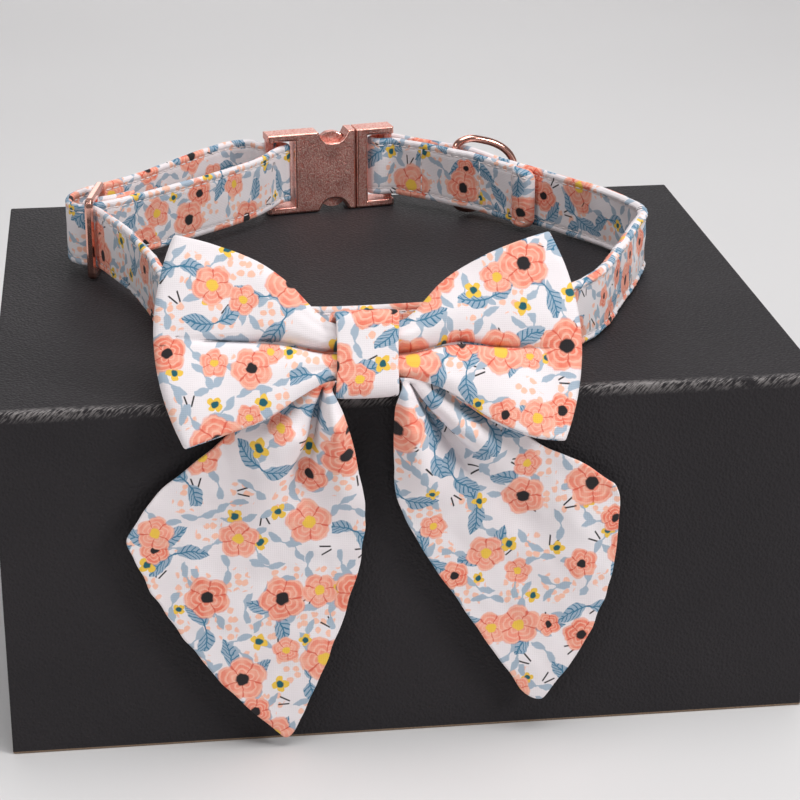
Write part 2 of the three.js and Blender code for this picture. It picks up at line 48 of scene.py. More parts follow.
# Sizes in millimetres, measured from the middle of the box's front edge: X right, Y back, Z up
ORIGIN_BEHIND_FRONT = 91
DECK_TOP = 105.3
STRAP_WIDTH = 20
STRAP_THICKNESS = 2.5
BUCKLE = {"x": -6.2, "y": 181.7, "turn": 10, "bar": 21.05, "lift": 4, "reach": 6.3, "wrap": 3.52}
SLIDER = {"x": -86.1, "y": 121.8, "turn": 79.8, "lift": 3.25, "reach": 2.9, "wrap": 2.9}
D_RING = {"x": 36.5, "y": 168.6, "z": 119.1, "turn": 10, "wire": 2.6, "half": 12.5, "depth": 20.8}
BOW = {"x": -12.5, "y": 3.2, "z": 115.5, "lean": 26.57}
CLOTH_HALF = 0.6

# Camera at the photograph's angle
CAMERA_PLACE = (-0.0783, -0.6933, 0.3395)
CAMERA_LENS = 106.07
CAMERA_YAW = 7.03
CAMERA_PITCH = 21.25
CAMERA_ROLL = -0.13


def set_camera():
    data = bpy.data.cameras.new("camera")
    data.lens = CAMERA_LENS
    data.sensor_width = 36
    data.clip_start = 0.01
    data.clip_end = 20
    camera = bpy.data.objects.new("camera", data)
    scene.collection.objects.link(camera)
    yaw = Matrix.Rotation(-math.radians(CAMERA_YAW), 4, "Z")
    pitch = Matrix.Rotation(math.radians(90 - CAMERA_PITCH), 4, "X")
    roll = Matrix.Rotation(math.radians(CAMERA_ROLL), 4, "Z")
    camera.matrix_world = Matrix.Translation(CAMERA_PLACE) @ yaw @ pitch @ roll
    scene.camera = camera


set_camera()


# Colours and nodes
def linear(code):
    """Linear colour of an sRGB hex value."""
    channels = [int(code[i:i + 2], 16) / 255 for i in (1, 3, 5)]
    curve = [c / 12.92 if c <= 0.04045 else ((c + 0.055) / 1.055) ** 2.4 for c in channels]
    return (*curve, 1)


def add(tree, kind, links=None, **settings):
    """One shader node with its settings; links gives inputs a value, a socket or a node's output in use."""
    node = tree.nodes.new("ShaderNode" + kind if not kind.startswith("Node") else kind)
    for name, value in settings.items():
        setattr(node, name, value)
    for key, value in (links or {}).items():
        source = value
        if isinstance(value, bpy.types.Node):
            source = next(socket for socket in value.outputs if socket.enabled)
        if isinstance(source, bpy.types.NodeSocket):
            tree.links.new(source, node.inputs[key])
        else:
            node.inputs[key].default_value = source
    return node


def new_material(name):
    material = bpy.data.materials.new(name)
    material.use_nodes = True
    tree = material.node_tree
    tree.nodes.clear()
    return material, tree


def new_group(name, inputs, outputs):
    """Node group with its sockets; inputs and outputs are name and kind pairs."""
    tree = bpy.data.node_groups.new(name, "ShaderNodeTree")
    for way, sockets in (("INPUT", inputs), ("OUTPUT", outputs)):
        for label, kind in sockets.items():
            tree.interface.new_socket(label, in_out=way, socket_type="NodeSocket" + kind)
    return tree, add(tree, "NodeGroupInput").outputs


CELL_INPUTS = {"Cloth": "Vector", "Pitch": "Float", "Jitter": "Float", "Seed": "Float"}
CELL_MIDDLE = (0.5, 0.5, 0)
SEED_STEP = (0.37, 0.61, 0)


def motif_cell_group():
    """Staggered cells of a repeat: the place inside the cell, turned at random, and the cell's chance."""
    tree, given = new_group("motif_cell", CELL_INPUTS, {"Place": "Vector", "Chance": "Float"})
    scaled = add(tree, "VectorMath", {0: given["Cloth"], 1: given["Pitch"]}, operation="DIVIDE")
    moved = add(tree, "VectorMath", {0: given["Seed"], 1: SEED_STEP, 2: scaled}, operation="MULTIPLY_ADD")
    part = add(tree, "SeparateXYZ", {0: moved}).outputs
    row = add(tree, "Math", {0: part["Y"]}, operation="FLOOR")
    odd = add(tree, "Math", {0: row, 1: 2}, operation="FLOORED_MODULO")
    shifted = add(tree, "Math", {0: odd, 1: 0.5, 2: part["X"]}, operation="MULTIPLY_ADD")
    brick = add(tree, "CombineXYZ", {0: shifted, 1: part["Y"]})
    cell = add(tree, "VectorMath", {0: brick}, operation="FLOOR")
    inside = add(tree, "VectorMath", {0: brick, 1: cell}, operation="SUBTRACT")
    layer = add(tree, "CombineXYZ", {2: given["Seed"]})
    key = add(tree, "VectorMath", {0: cell, 1: layer}, operation="ADD")
    noise = add(tree, "TexWhiteNoise", {"Vector": key}, noise_dimensions="3D").outputs
    spread = add(tree, "VectorMath", {0: noise["Color"], 1: (0.5, 0.5, 0.5)}, operation="SUBTRACT")
    jitter = given["Jitter"]
    centre = add(tree, "VectorMath", {0: spread, 1: jitter, 2: CELL_MIDDLE}, operation="MULTIPLY_ADD")
    offset = add(tree, "VectorMath", {0: inside, 1: centre}, operation="SUBTRACT")
    sized = add(tree, "VectorMath", {0: offset, 1: given["Pitch"]}, operation="MULTIPLY")
    flat = add(tree, "VectorMath", {0: sized, 1: (1, 1, 0)}, operation="MULTIPLY")
    third = add(tree, "SeparateXYZ", {0: noise["Color"]}).outputs[2]
    turn = add(tree, "Math", {0: third, 1: math.tau}, operation="MULTIPLY")
    place = add(tree, "VectorRotate", {"Vector": flat, "Angle": turn}, rotation_type="Z_AXIS")
    add(tree, "NodeGroupOutput", {"Place": place, "Chance": noise["Value"]})
    return tree


SMALLEST_FLOWER = 0.66


def blossom_group(cells):
    """Round flower with lobed petals: its mask, share of its radius, lobes and chance."""
    inputs = {**CELL_INPUTS, "Radius": "Float", "Petals": "Float", "Notch": "Float", "Keep": "Float"}
    outputs = {"Mask": "Float", "Reach": "Float", "Lobe": "Float", "Chance": "Float"}
    tree, given = new_group("printed_blossom", inputs, outputs)
    cell = add(tree, "Group", {name: given[name] for name in CELL_INPUTS}, node_tree=cells).outputs
    place, chance = cell["Place"], cell["Chance"]
    part = add(tree, "SeparateXYZ", {0: place}).outputs
    angle = add(tree, "Math", {0: part["Y"], 1: part["X"]}, operation="ARCTAN2")
    half_petals = add(tree, "Math", {0: given["Petals"], 1: 0.5}, operation="MULTIPLY")
    wave = add(tree, "Math", {0: angle, 1: half_petals}, operation="MULTIPLY")
    cosine = add(tree, "Math", {0: wave}, operation="COSINE")
    lobe = add(tree, "Math", {0: cosine}, operation="ABSOLUTE")
    hollow = add(tree, "Math", {0: 1, 1: given["Notch"]}, operation="SUBTRACT")
    edge = add(tree, "Math", {0: lobe, 1: given["Notch"], 2: hollow}, operation="MULTIPLY_ADD")
    # Flowers differ in size, up to the full radius
    draw = add(tree, "Math", {0: chance, 1: 13}, operation="MULTIPLY")
    draw = add(tree, "Math", {0: draw}, operation="FRACT")
    size = add(tree, "MapRange", {0: draw, 3: SMALLEST_FLOWER, 4: 1})
    radius = add(tree, "Math", {0: size, 1: given["Radius"]}, operation="MULTIPLY")
    length = add(tree, "VectorMath", {0: place}, operation="LENGTH")
    reach = add(tree, "Math", {0: length, 1: radius}, operation="DIVIDE")
    share = add(tree, "Math", {0: reach, 1: edge}, operation="DIVIDE")
    mask = add(tree, "MapRange", {0: share, 1: 0.95, 2: 1.04, 3: 1, 4: 0})
    kept = add(tree, "Math", {0: chance, 1: given["Keep"]}, operation="LESS_THAN")
    shown = add(tree, "Math", {0: mask, 1: kept}, operation="MULTIPLY")
    add(tree, "NodeGroupOutput", {"Mask": shown, "Reach": reach, "Lobe": lobe, "Chance": chance})
    return tree


# Leaves: how far the stalk bows per square millimetre, and the gap and slant of the ribs
LEAF_DROOP = 0.05
RIB_GAP = 1.35
RIB_SLANT = -0.9


def leaf_group(cells):
    """Pair of pointed leaves on one stalk: their mask and their veins."""
    inputs = {**CELL_INPUTS, "Length": "Float", "Width": "Float", "Keep": "Float"}
    tree, given = new_group("printed_leaves", inputs, {"Mask": "Float", "Vein": "Float"})
    cell = add(tree, "Group", {name: given[name] for name in CELL_INPUTS}, node_tree=cells).outputs
    part = add(tree, "SeparateXYZ", {0: cell["Place"]}).outputs
    # The stalk is bowed, so that the two leaves droop to one side
    bow = add(tree, "Math", {0: part["X"], 1: part["X"]}, operation="MULTIPLY")
    lowered = add(tree, "Math", {0: bow, 1: LEAF_DROOP, 2: part["Y"]}, operation="MULTIPLY_ADD")
    along = add(tree, "Math", {0: part["X"]}, operation="ABSOLUTE")
    aside = add(tree, "Math", {0: lowered}, operation="ABSOLUTE")
    share = add(tree, "Math", {0: along, 1: given["Length"]}, operation="DIVIDE")
    centred = add(tree, "Math", {0: share, 1: 2, 2: -1.1}, operation="MULTIPLY_ADD")
    square = add(tree, "Math", {0: centred, 1: centred}, operation="MULTIPLY")
    lens = add(tree, "Math", {0: 1, 1: square}, operation="SUBTRACT")
    width = add(tree, "Math", {0: lens, 1: given["Width"]}, operation="MULTIPLY")
    inside = add(tree, "Math", {0: aside, 1: width}, operation="SUBTRACT")
    blade = add(tree, "MapRange", {0: inside, 1: -0.14, 2: 0.14, 3: 1, 4: 0})
    stalk_line = add(tree, "MapRange", {0: aside, 1: 0.14, 2: 0.3, 3: 1, 4: 0})
    stalk_end = add(tree, "MapRange", {0: along, 1: 0.8, 2: 1.2, 3: 1, 4: 0})
    stalk = add(tree, "Math", {0: stalk_line, 1: stalk_end}, operation="MULTIPLY")
    mask = add(tree, "Math", {0: blade, 1: stalk}, operation="MAXIMUM")
    kept = add(tree, "Math", {0: cell["Chance"], 1: given["Keep"]}, operation="LESS_THAN")
    shown = add(tree, "Math", {0: mask, 1: kept}, operation="MULTIPLY")
    slant = add(tree, "Math", {0: aside, 1: RIB_SLANT, 2: along}, operation="MULTIPLY_ADD")
    rib = add(tree, "Math", {0: slant, 1: RIB_GAP}, operation="FLOORED_MODULO")
    ribs = add(tree, "MapRange", {0: rib, 1: 0.25, 2: 0.5, 3: 1, 4: 0})
    midrib = add(tree, "MapRange", {0: aside, 1: 0.12, 2: 0.3, 3: 1, 4: 0})
    vein = add(tree, "Math", {0: ribs, 1: midrib}, operation="MAXIMUM")
    add(tree, "NodeGroupOutput", {"Mask": shown, "Vein": vein})
    return tree


STROKE_TILT = -0.3
STROKE_FROM_MIDDLE = 0.9


def seed_group(cells):
    """Pair of short dark strokes, as loose seeds: their mask."""
    tree, given = new_group("printed_seeds", {**CELL_INPUTS, "Keep": "Float"}, {"Mask": "Float"})
    cell = add(tree, "Group", {name: given[name] for name in CELL_INPUTS}, node_tree=cells).outputs
    part = add(tree, "SeparateXYZ", {0: cell["Place"]}).outputs
    along = add(tree, "Math", {0: part["X"]}, operation="ABSOLUTE")
    aside = add(tree, "Math", {0: part["Y"]}, operation="ABSOLUTE")
    apart = add(tree, "Math", {0: part["X"], 1: STROKE_TILT, 2: aside}, operation="MULTIPLY_ADD")
    centred = add(tree, "Math", {0: apart, 1: STROKE_FROM_MIDDLE}, operation="SUBTRACT")
    line = add(tree, "Math", {0: centred}, operation="ABSOLUTE")
    thin = add(tree, "MapRange", {0: line, 1: 0.15, 2: 0.32, 3: 1, 4: 0})
    short = add(tree, "MapRange", {0: along, 1: 1.4, 2: 1.7, 3: 1, 4: 0})
    stroke = add(tree, "Math", {0: thin, 1: short}, operation="MULTIPLY")
    kept = add(tree, "Math", {0: cell["Chance"], 1: given["Keep"]}, operation="LESS_THAN")
    shown = add(tree, "Math", {0: stroke, 1: kept}, operation="MULTIPLY")
    add(tree, "NodeGroupOutput", {"Mask": shown})
    return tree


# Printed cotton: plain-woven shirting, roller printed with small flowers, then sewn and pressed. Soft and
# matt, with a faint thread grain, and painted light and shade of the weave: colour a little lighter on the
# thread crowns and darker between them.
PRINT_INK = {
    "ground": "#F2ECEE", "shade": "#ECE2E4", "coral": "#EF7C64", "deep_coral": "#DD5843",
    "peach": "#FAC4AD", "blush": "#F69D88", "dusty_blue": "#A9B8C7", "steel_blue": "#93ABC0",
    "deep_blue": "#407A98", "teal": "#24606B", "yellow": "#F3C750", "charcoal": "#2A2628",
}
# Motifs of the print: sizes in millimetres, and the share of the cells that hold one
BERRY_SPRAY = {"Pitch": 13.5, "Jitter": 0.3, "Seed": 3, "Radius": 6.4, "Petals": 3, "Notch": 0.4, "Keep": 0.8}
LOOSE_SEED = {"Pitch": 11.5, "Jitter": 0.5, "Seed": 11, "Keep": 0.5}
SLIM_LEAF = {"Pitch": 10.5, "Jitter": 0.4, "Length": 4.9, "Width": 1.05, "Keep": 0.7}
SLIM_LEAF_SEEDS = (23, 29)
BROAD_LEAF = {"Pitch": 19, "Jitter": 0.35, "Length": 8.4, "Width": 2.5, "Keep": 0.66}
BROAD_LEAF_SEEDS = (37, 43)
FLORET = {"Pitch": 14.5, "Jitter": 0.45, "Seed": 51, "Radius": 2.7, "Petals": 4, "Notch": 0.45, "Keep": 0.6}
BLOSSOM = {"Jitter": 0.3, "Petals": 5, "Notch": 0.2}
BLOSSOM_SIZES = (
    {"Seed": 67, "Pitch": 17.5, "Radius": 5.4, "Keep": 0.62},
    {"Seed": 83, "Pitch": 22, "Radius": 7.8, "Keep": 0.84},
)
STROKE_GAP = 0.24
STROKE_CURVE = -0.16
GOLDEN_FROM = 0.7
# Scales per millimetre: bled ink edges, washes of colour, uneven tone, thick places in the thread, berries
PER_MM = {"bleed": 0.5, "wash": 0.35, "tone": 0.05, "slub": 1.6, "berry": 0.36}
INK_BLEED = (1.2, 1.2, 0)
THREAD_GAP = 0.55


def printed_cotton():
    material, tree = new_material("printed_cotton_plain_weave")
    ink = {name: linear(code) for name, code in PRINT_INK.items()}
    flat = add(tree, "UVMap", uv_map="cloth_mm")
    bleed = add(tree, "TexNoise", {"Vector": flat, "Scale": PER_MM["bleed"], "Detail": 1}).outputs["Color"]
    wander = add(tree, "VectorMath", {0: bleed, 1: INK_BLEED, 2: flat}, operation="MULTIPLY_ADD")
    wash = add(tree, "TexNoise", {"Vector": flat, "Scale": PER_MM["wash"], "Detail": 1})
    cells = motif_cell_group()
    blossom, leaf, seed = blossom_group(cells), leaf_group(cells), seed_group(cells)

    layers = []
    # Sprays of small berries
    near = add(tree, "Group", {"Cloth": wander, **BERRY_SPRAY}, node_tree=blossom).outputs
    spread = {"Vector": wander, "Scale": PER_MM["berry"], "Randomness": 0.6}
    dots = add(tree, "TexVoronoi", spread, voronoi_dimensions="2D").outputs["Distance"]
    berry = add(tree, "MapRange", {0: dots, 1: 0.3, 2: 0.37, 3: 1, 4: 0})
    layers.append((add(tree, "Math", {0: berry, 1: near["Mask"]}, operation="MULTIPLY"), ink["peach"]))
    # Loose seeds
    loose = add(tree, "Group", {"Cloth": flat, **LOOSE_SEED}, node_tree=seed).outputs
    layers.append((loose["Mask"], ink["charcoal"]))
    # Slim pale leaves, then broad veined ones
    for mark in SLIM_LEAF_SEEDS:
        slim = add(tree, "Group", {"Cloth": wander, "Seed": mark, **SLIM_LEAF}, node_tree=leaf).outputs
        layers.append((slim["Mask"], ink["dusty_blue"]))
    for mark in BROAD_LEAF_SEEDS:
        broad = add(tree, "Group", {"Cloth": wander, "Seed": mark, **BROAD_LEAF}, node_tree=leaf).outputs
        pale = add(tree, "Mix", {0: wash, 6: ink["steel_blue"], 7: ink["dusty_blue"]}, data_type="RGBA")
        blade = add(tree, "Mix", {0: broad["Vein"], 6: pale, 7: ink["deep_blue"]}, data_type="RGBA")
        layers.append((broad["Mask"], blade))
    # Small yellow florets with teal eyes
    floret = add(tree, "Group", {"Cloth": wander, **FLORET}, node_tree=blossom).outputs
    eye = add(tree, "MapRange", {0: floret["Reach"], 1: 0.36, 2: 0.48, 3: 1, 4: 0})
    petals = add(tree, "Mix", {0: eye, 6: ink["yellow"], 7: ink["teal"]}, data_type="RGBA")
    layers.append((floret["Mask"], petals))
    # Five-petal blossoms of two sizes: coral or blush with darker petal lines, paler inside, and dark or
    # golden hearts
    for size in BLOSSOM_SIZES:
        flower = add(tree, "Group", {"Cloth": wander, **BLOSSOM, **size}, node_tree=blossom).outputs
        kind = add(tree, "Math", {0: flower["Chance"], 1: 5}, operation="MULTIPLY")
        kind = add(tree, "Math", {0: kind}, operation="FRACT")
        tint = add(tree, "Mix", {0: kind, 6: ink["coral"], 7: ink["blush"]}, data_type="RGBA")
        wet = add(tree, "MapRange", {0: wash, 1: 0.4, 2: 0.68, 3: 0, 4: 0.55})
        tint = add(tree, "Mix", {0: wet, 6: tint, 7: ink["peach"]}, data_type="RGBA")
        # Curved strokes inside the petals follow rings that wander with the angle
        curve = {0: flower["Lobe"], 1: STROKE_CURVE, 2: flower["Reach"]}
        swirl = add(tree, "Math", curve, operation="MULTIPLY_ADD")
        ring = add(tree, "Math", {0: swirl, 1: STROKE_GAP}, operation="FLOORED_MODULO")
        stroke = add(tree, "MapRange", {0: ring, 1: 0.05, 2: 0.1, 3: 0.75, 4: 0})
        tint = add(tree, "Mix", {0: stroke, 6: tint, 7: ink["peach"]}, data_type="RGBA")
        split = add(tree, "MapRange", {0: flower["Lobe"], 1: 0.06, 2: 0.2, 3: 0.85, 4: 0})
        tint = add(tree, "Mix", {0: split, 6: tint, 7: ink["deep_coral"]}, data_type="RGBA")
        golden = add(tree, "Math", {0: kind, 1: GOLDEN_FROM}, operation="GREATER_THAN")
        heart_ink = add(tree, "Mix", {0: golden, 6: ink["charcoal"], 7: ink["yellow"]}, data_type="RGBA")
        heart = add(tree, "MapRange", {0: flower["Reach"], 1: 0.24, 2: 0.3, 3: 1, 4: 0})
        flower_ink = add(tree, "Mix", {0: heart, 6: tint, 7: heart_ink}, data_type="RGBA")
        layers.append((flower["Mask"], flower_ink))

    tone = add(tree, "TexNoise", {"Vector": flat, "Scale": PER_MM["tone"], "Detail": 0})
    colour = add(tree, "Mix", {0: tone, 6: ink["ground"], 7: ink["shade"]}, data_type="RGBA")
    for mask, over in layers:
        colour = add(tree, "Mix", {0: mask, 6: colour, 7: over}, data_type="RGBA")

    # Thread grain: real threads lie about 0.3 mm apart, drawn wider so that they show
    part = add(tree, "SeparateXYZ", {0: flat}).outputs
    beat = math.tau / THREAD_GAP
    turns = [add(tree, "Math", {0: part[way], 1: beat}, operation="MULTIPLY") for way in ("X", "Y")]
    warp, weft = (add(tree, "Math", {0: turn}, operation="SINE") for turn in turns)
    weave = add(tree, "Math", {0: weft, 1: 1.6, 2: warp}, operation="MULTIPLY_ADD")
    slub = add(tree, "TexNoise", {"Vector": flat, "Scale": PER_MM["slub"], "Detail": 1})
    height = add(tree, "Math", {0: slub, 1: 2, 2: weave}, operation="MULTIPLY_ADD")
    grain = add(tree, "Bump", {"Height": height, "Strength": 0.22, "Distance": 0.00005})
    # Painted light and shade of the weave: the colour is made a little lighter on the thread crowns and
    # darker in the hollows between them
    crown = add(tree, "MapRange", {0: weave, 1: -2.6, 2: 2.6, 3: 0.985, 4: 1.01})
    weave_lit_and_shaded_colour = add(tree, "VectorMath", {0: colour, 1: crown}, operation="MULTIPLY")
    shader = add(tree, "BsdfPrincipled", {
        "Base Color": weave_lit_and_shaded_colour, "Normal": grain, "Roughness": 0.86, "IOR": 1.46, "Specular IOR Level": 0.25,
        "Sheen Weight": 0.1, "Sheen Roughness": 0.5})
    add(tree, "OutputMaterial", {"Surface": shader})
    return material


# Sewing thread: spun polyester, twisted. Off-white and slightly glossy, with a fine twist.
THREAD_TWIST = 0.7
THREAD_FIBRE = 1.43


def sewing_thread():
    material, tree = new_material("sewing_thread_twisted")
    spot = add(tree, "NewGeometry").outputs["Position"]
    # The wave node turns by ten radians in one unit
    turns = math.tau / (10 * THREAD_TWIST * MM)
    twist = add(tree, "TexWave", {"Vector": spot, "Scale": turns}, bands_direction="DIAGONAL")
    ply = add(tree, "Bump", {"Height": twist, "Strength": 0.4, "Distance": 0.0001})
    fibre = add(tree, "TexNoise", {"Vector": spot, "Scale": 1 / (THREAD_FIBRE * MM)})
    colour = add(tree, "Mix", {0: fibre, 6: linear("#F2E9E8"), 7: linear("#E3D6D5")}, data_type="RGBA")
    shader = add(tree, "BsdfPrincipled", {"Base Color": colour, "Normal": ply, "Roughness": 0.6})
    add(tree, "OutputMaterial", {"Surface": shader})
    return material


# Rose gold: copper-rich gold plate on cast zinc alloy. The satin faces were tumbled, which leaves a coarse
# sparkle of small bright and dark flecks.
SATIN_GRIT = 0.55


def rose_gold_satin():
    material, tree = new_material("rose_gold_plate_tumbled_satin")
    spot = add(tree, "NewGeometry").outputs["Position"]
    grit = add(tree, "TexNoise", {
        "Vector": spot, "Scale": 1 / (SATIN_GRIT * MM), "Detail": 3, "Roughness": 0.7})
    cloud = add(tree, "TexNoise", {"Vector": spot, "Scale": 1 / (6 * MM), "Detail": 2})
    tone = add(tree, "MapRange", {0: grit, 1: 0.4, 2: 0.62})
    colour = add(tree, "Mix", {0: tone, 6: linear("#E68C7E"), 7: linear("#FFD8CC")}, data_type="RGBA")
    rough = add(tree, "MapRange", {0: cloud, 1: 0.3, 2: 0.7, 3: 0.33, 4: 0.45})
    pits = add(tree, "Bump", {"Height": grit, "Strength": 0.9, "Distance": 0.00021})
    shader = add(tree, "BsdfPrincipled", {
        "Base Color": colour, "Roughness": rough, "Normal": pits, "Metallic": 1})
    add(tree, "OutputMaterial", {"Surface": shader})
    return material


# Rose gold, buffed: the same plate on edges and wire, polished bright with faint buffing marks.
def rose_gold_polished():
    material, tree = new_material("rose_gold_plate_buffed")
    spot = add(tree, "NewGeometry").outputs["Position"]
    marks = add(tree, "TexNoise", {"Vector": spot, "Scale": 1 / (1.8 * MM), "Detail": 3})
    rough = add(tree, "MapRange", {0: marks, 1: 0.3, 2: 0.7, 3: 0.08, 4: 0.18})
    colour = add(tree, "Mix", {0: marks, 6: linear("#F8C0AF"), 7: linear("#EFAE9C")}, data_type="RGBA")
    shader = add(tree, "BsdfPrincipled", {"Base Color": colour, "Roughness": rough, "Metallic": 1})
    add(tree, "OutputMaterial", {"Surface": shader})
    return material


# Black covering paper on grey board: embossed with a fine leather grain. Dull black with a low gloss on the
# crowns of the grain, rubbed through in pale slanting strokes along the front edge, and raw tan board at the
# open rim.
LEATHER_GRAIN = 0.9
PAPER_FIBRE = 0.8
RIM_SHOWS = 0.7
EDGE_WEAR = 3.4
RUB_STROKE = {"width": 0.7, "length": 4}


def covered_board():
    material, tree = new_material("black_paper_embossed_on_board")
    spot = add(tree, "NewGeometry").outputs["Position"]
    part = add(tree, "SeparateXYZ", {0: spot}).outputs
    cells = add(tree, "TexVoronoi", {"Vector": spot, "Scale": 1 / (LEATHER_GRAIN * MM)}, feature="F1")
    fibre = add(tree, "TexNoise", {"Vector": spot, "Scale": 1 / (PAPER_FIBRE * MM), "Detail": 2})
    grain = add(tree, "Math", {0: fibre, 1: 0.7, 2: cells.outputs["Distance"]}, operation="MULTIPLY_ADD")
    emboss = add(tree, "Bump", {"Height": grain, "Strength": 0.8, "Distance": 0.0003})
    # Wear: near the top front edge the grain is rubbed through in strokes that slant across the edge
    low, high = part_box("display_box")
    from_front = add(tree, "Math", {0: part["Y"], 1: low.y}, operation="SUBTRACT")
    from_top = add(tree, "Math", {0: high.z, 1: part["Z"]}, operation="SUBTRACT")
    away = add(tree, "Math", {0: from_front, 1: from_top}, operation="ADD")
    rubbed = add(tree, "MapRange", {0: away, 1: 0.4 * MM, 2: EDGE_WEAR * MM, 3: 1, 4: 0})
    round_edge = add(tree, "Math", {0: from_top, 1: from_front}, operation="SUBTRACT")
    fore = add(tree, "Math", {0: part["X"], 1: round_edge}, operation="ADD")
    back = add(tree, "Math", {0: part["X"], 1: round_edge}, operation="SUBTRACT")
    slanted = add(tree, "CombineXYZ", {0: fore, 1: back})
    per_metre = (1 / (RUB_STROKE["width"] * MM), 1 / (RUB_STROKE["length"] * MM), 0)
    drawn = add(tree, "VectorMath", {0: slanted, 1: per_metre}, operation="MULTIPLY")
    strokes = add(tree, "TexNoise", {"Vector": drawn, "Scale": 1, "Detail": 2})
    patch = add(tree, "TexNoise", {"Vector": spot, "Scale": 1 / (22 * MM), "Detail": 2})
    reach = add(tree, "Math", {0: patch, 1: 0.5, 2: strokes}, operation="MULTIPLY_ADD")
    crown = add(tree, "MapRange", {0: reach, 1: 0.68, 2: 0.86})
    wear = add(tree, "Math", {0: rubbed, 1: crown}, operation="MULTIPLY")
    tone = add(tree, "TexNoise", {"Vector": spot, "Scale": 1 / (40 * MM), "Detail": 3})
    colour = add(tree, "Mix", {0: tone, 6: linear("#2B292B"), 7: linear("#353234")}, data_type="RGBA")
    colour = add(tree, "Mix", {0: wear, 6: colour, 7: linear("#8C8786")}, data_type="RGBA")
    raw = add(tree, "MapRange", {0: part["Z"], 1: RIM_SHOWS * MM, 2: 1.2 * RIM_SHOWS * MM, 3: 1, 4: 0})
    colour = add(tree, "Mix", {0: raw, 6: colour, 7: linear("#8A7562")}, data_type="RGBA")
    rough = add(tree, "MapRange", {0: fibre, 1: 0.3, 2: 0.7, 3: 0.44, 4: 0.6})
    shader = add(tree, "BsdfPrincipled", {
        "Base Color": colour, "Roughness": rough, "Normal": emboss, "IOR": 1.48, "Specular IOR Level": 0.1})
    add(tree, "OutputMaterial", {"Surface": shader})
    return material


COTTON = printed_cotton()
THREAD = sewing_thread()
SATIN_GOLD = rose_gold_satin()
BRIGHT_GOLD = rose_gold_polished()
BOARD = covered_board()


# Meshes
TINY = 1e-9
# Places near a cloth edge where its rounding is drawn
EDGE_STEPS = np.array((0, 0.06, 0.2, 0.42, 0.75, 1.2))
# Where the pieces lie on the printed cloth, so that they show different flowers, and the back from the front
CLOTH_PLACE = {"strap": 200, "bow_front": 0, "bow_back": 260, "bow_up": 10, "knot": 300}
TAIL_CLOTH_STEP = (40, 17)
BACK_SHIFT = (37.0, 53.0)


def to_frame(points):
    """Millimetres from the box's front edge to metres in the shared frame."""
    shifted = np.asarray(points, float) - (0, ORIGIN_BEHIND_FRONT, 0)
    return shifted * MM


def new_piece(name, points, faces, material, body="collar", cloth=None):
    """Smooth mesh from millimetre points, riding on a body; cloth gives its face corners' flat places."""
    mesh = bpy.data.meshes.new(name)
    mesh.from_pydata(to_frame(points).tolist(), [], [list(map(int, face)) for face in faces])
    mesh.materials.append(material)
    mesh.polygons.foreach_set("use_smooth", [True] * len(mesh.polygons))
    if cloth is not None:
        layer = mesh.uv_layers.new(name="cloth_mm")
        layer.data.foreach_set("uv", np.asarray(cloth, np.float32).ravel())
    mesh.validate()
    piece = bpy.data.objects.new(name, mesh)
    scene.collection.objects.link(piece)
    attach(piece, body)
    return piece


def unit(vectors):
    return vectors / np.linalg.norm(vectors, axis=-1, keepdims=True)


def surface_normals(middle, is_ring):
    """Unit normals of a grid of points; the first way of the grid may be a ring."""
    if is_ring:
        wrapped = np.concatenate([middle[-2:], middle, middle[:2]])
        along = np.gradient(wrapped, axis=0)[2:-2]
    else:
        along = np.gradient(middle, axis=0)
    return unit(np.cross(along, np.gradient(middle, axis=1)))


def thick_cloth(name, middle, half, cloth, is_ring=False, normal=None):
    """Closed cloth round a grid of middle points: half is half its thickness, 0 along its open edges."""
    rows, columns = middle.shape[:2]
    if normal is None:
        normal = surface_normals(middle, is_ring)
    layers = [middle + normal * half[..., None], middle - normal * half[..., None]]
    points = np.concatenate([layer.reshape(-1, 3) for layer in layers])
    index = np.arange(2 * rows * columns).reshape(2, rows, columns)
    shut = half <= TINY
    index[1][shut] = index[0][shut]
    uv_grid = np.stack([cloth, cloth + np.asarray(BACK_SHIFT)])
    faces, corners = [], []
    for side in (0, 1):
        for i in range(rows if is_ring else rows - 1):
            k = (i + 1) % rows
            for j in range(columns - 1):
                ring = [(i, i, j), (k, i + 1, j), (k, i + 1, j + 1), (i, i, j + 1)]
                if side:
                    ring.reverse()
                faces.append([index[side, r, c] for r, _, c in ring])
                corners.append([uv_grid[side, u, c] for _, u, c in ring])
    used = np.unique(np.concatenate(faces))
    fresh = np.full(len(points), -1)
    fresh[used] = np.arange(len(used))
    return new_piece(name, points[used], fresh[np.array(faces)], COTTON, cloth=np.concatenate(corners))


def tube_faces(rows, sides, is_ring=False):
    """Faces of a tube made of rings of points, which may close on itself."""
    faces = []
    for i in range(rows if is_ring else rows - 1):
        here, ahead = i * sides, (i + 1) % rows * sides
        for j in range(sides):
            k = (j + 1) % sides
            faces.append([here + j, here + k, ahead + k, ahead + j])
    return faces


def edge_spacing(length, step):
    """Places from 0 to length that crowd at both ends, where a cloth edge is rounded."""
    last = EDGE_STEPS[-1]
    count = max(2, int(round((length - 2 * last) / step)))
    middle = np.linspace(last, length - last, count + 1)
    return np.concatenate([EDGE_STEPS[:-1], middle, (length - EDGE_STEPS[:-1])[::-1]])


def rounded_edge(distance, half):
    """Half thickness of a cloth with a round folded edge, at a distance from that edge."""
    inside = np.clip(distance / half, 0, 1)
    return half * np.sqrt(1 - (1 - inside) ** 2)


def round_corner(first, second, radius):
    """Distances from two edges of a sheet, drawn in so that their corner is round."""
    left, below = np.clip(radius - first, 0, None), np.clip(radius - second, 0, None)
    pull = np.maximum(left, below) / np.maximum(np.hypot(left, below), TINY)
    inside = (left > 0) & (below > 0)
    return np.where(inside, radius - left * pull, first), np.where(inside, radius - below * pull, second)


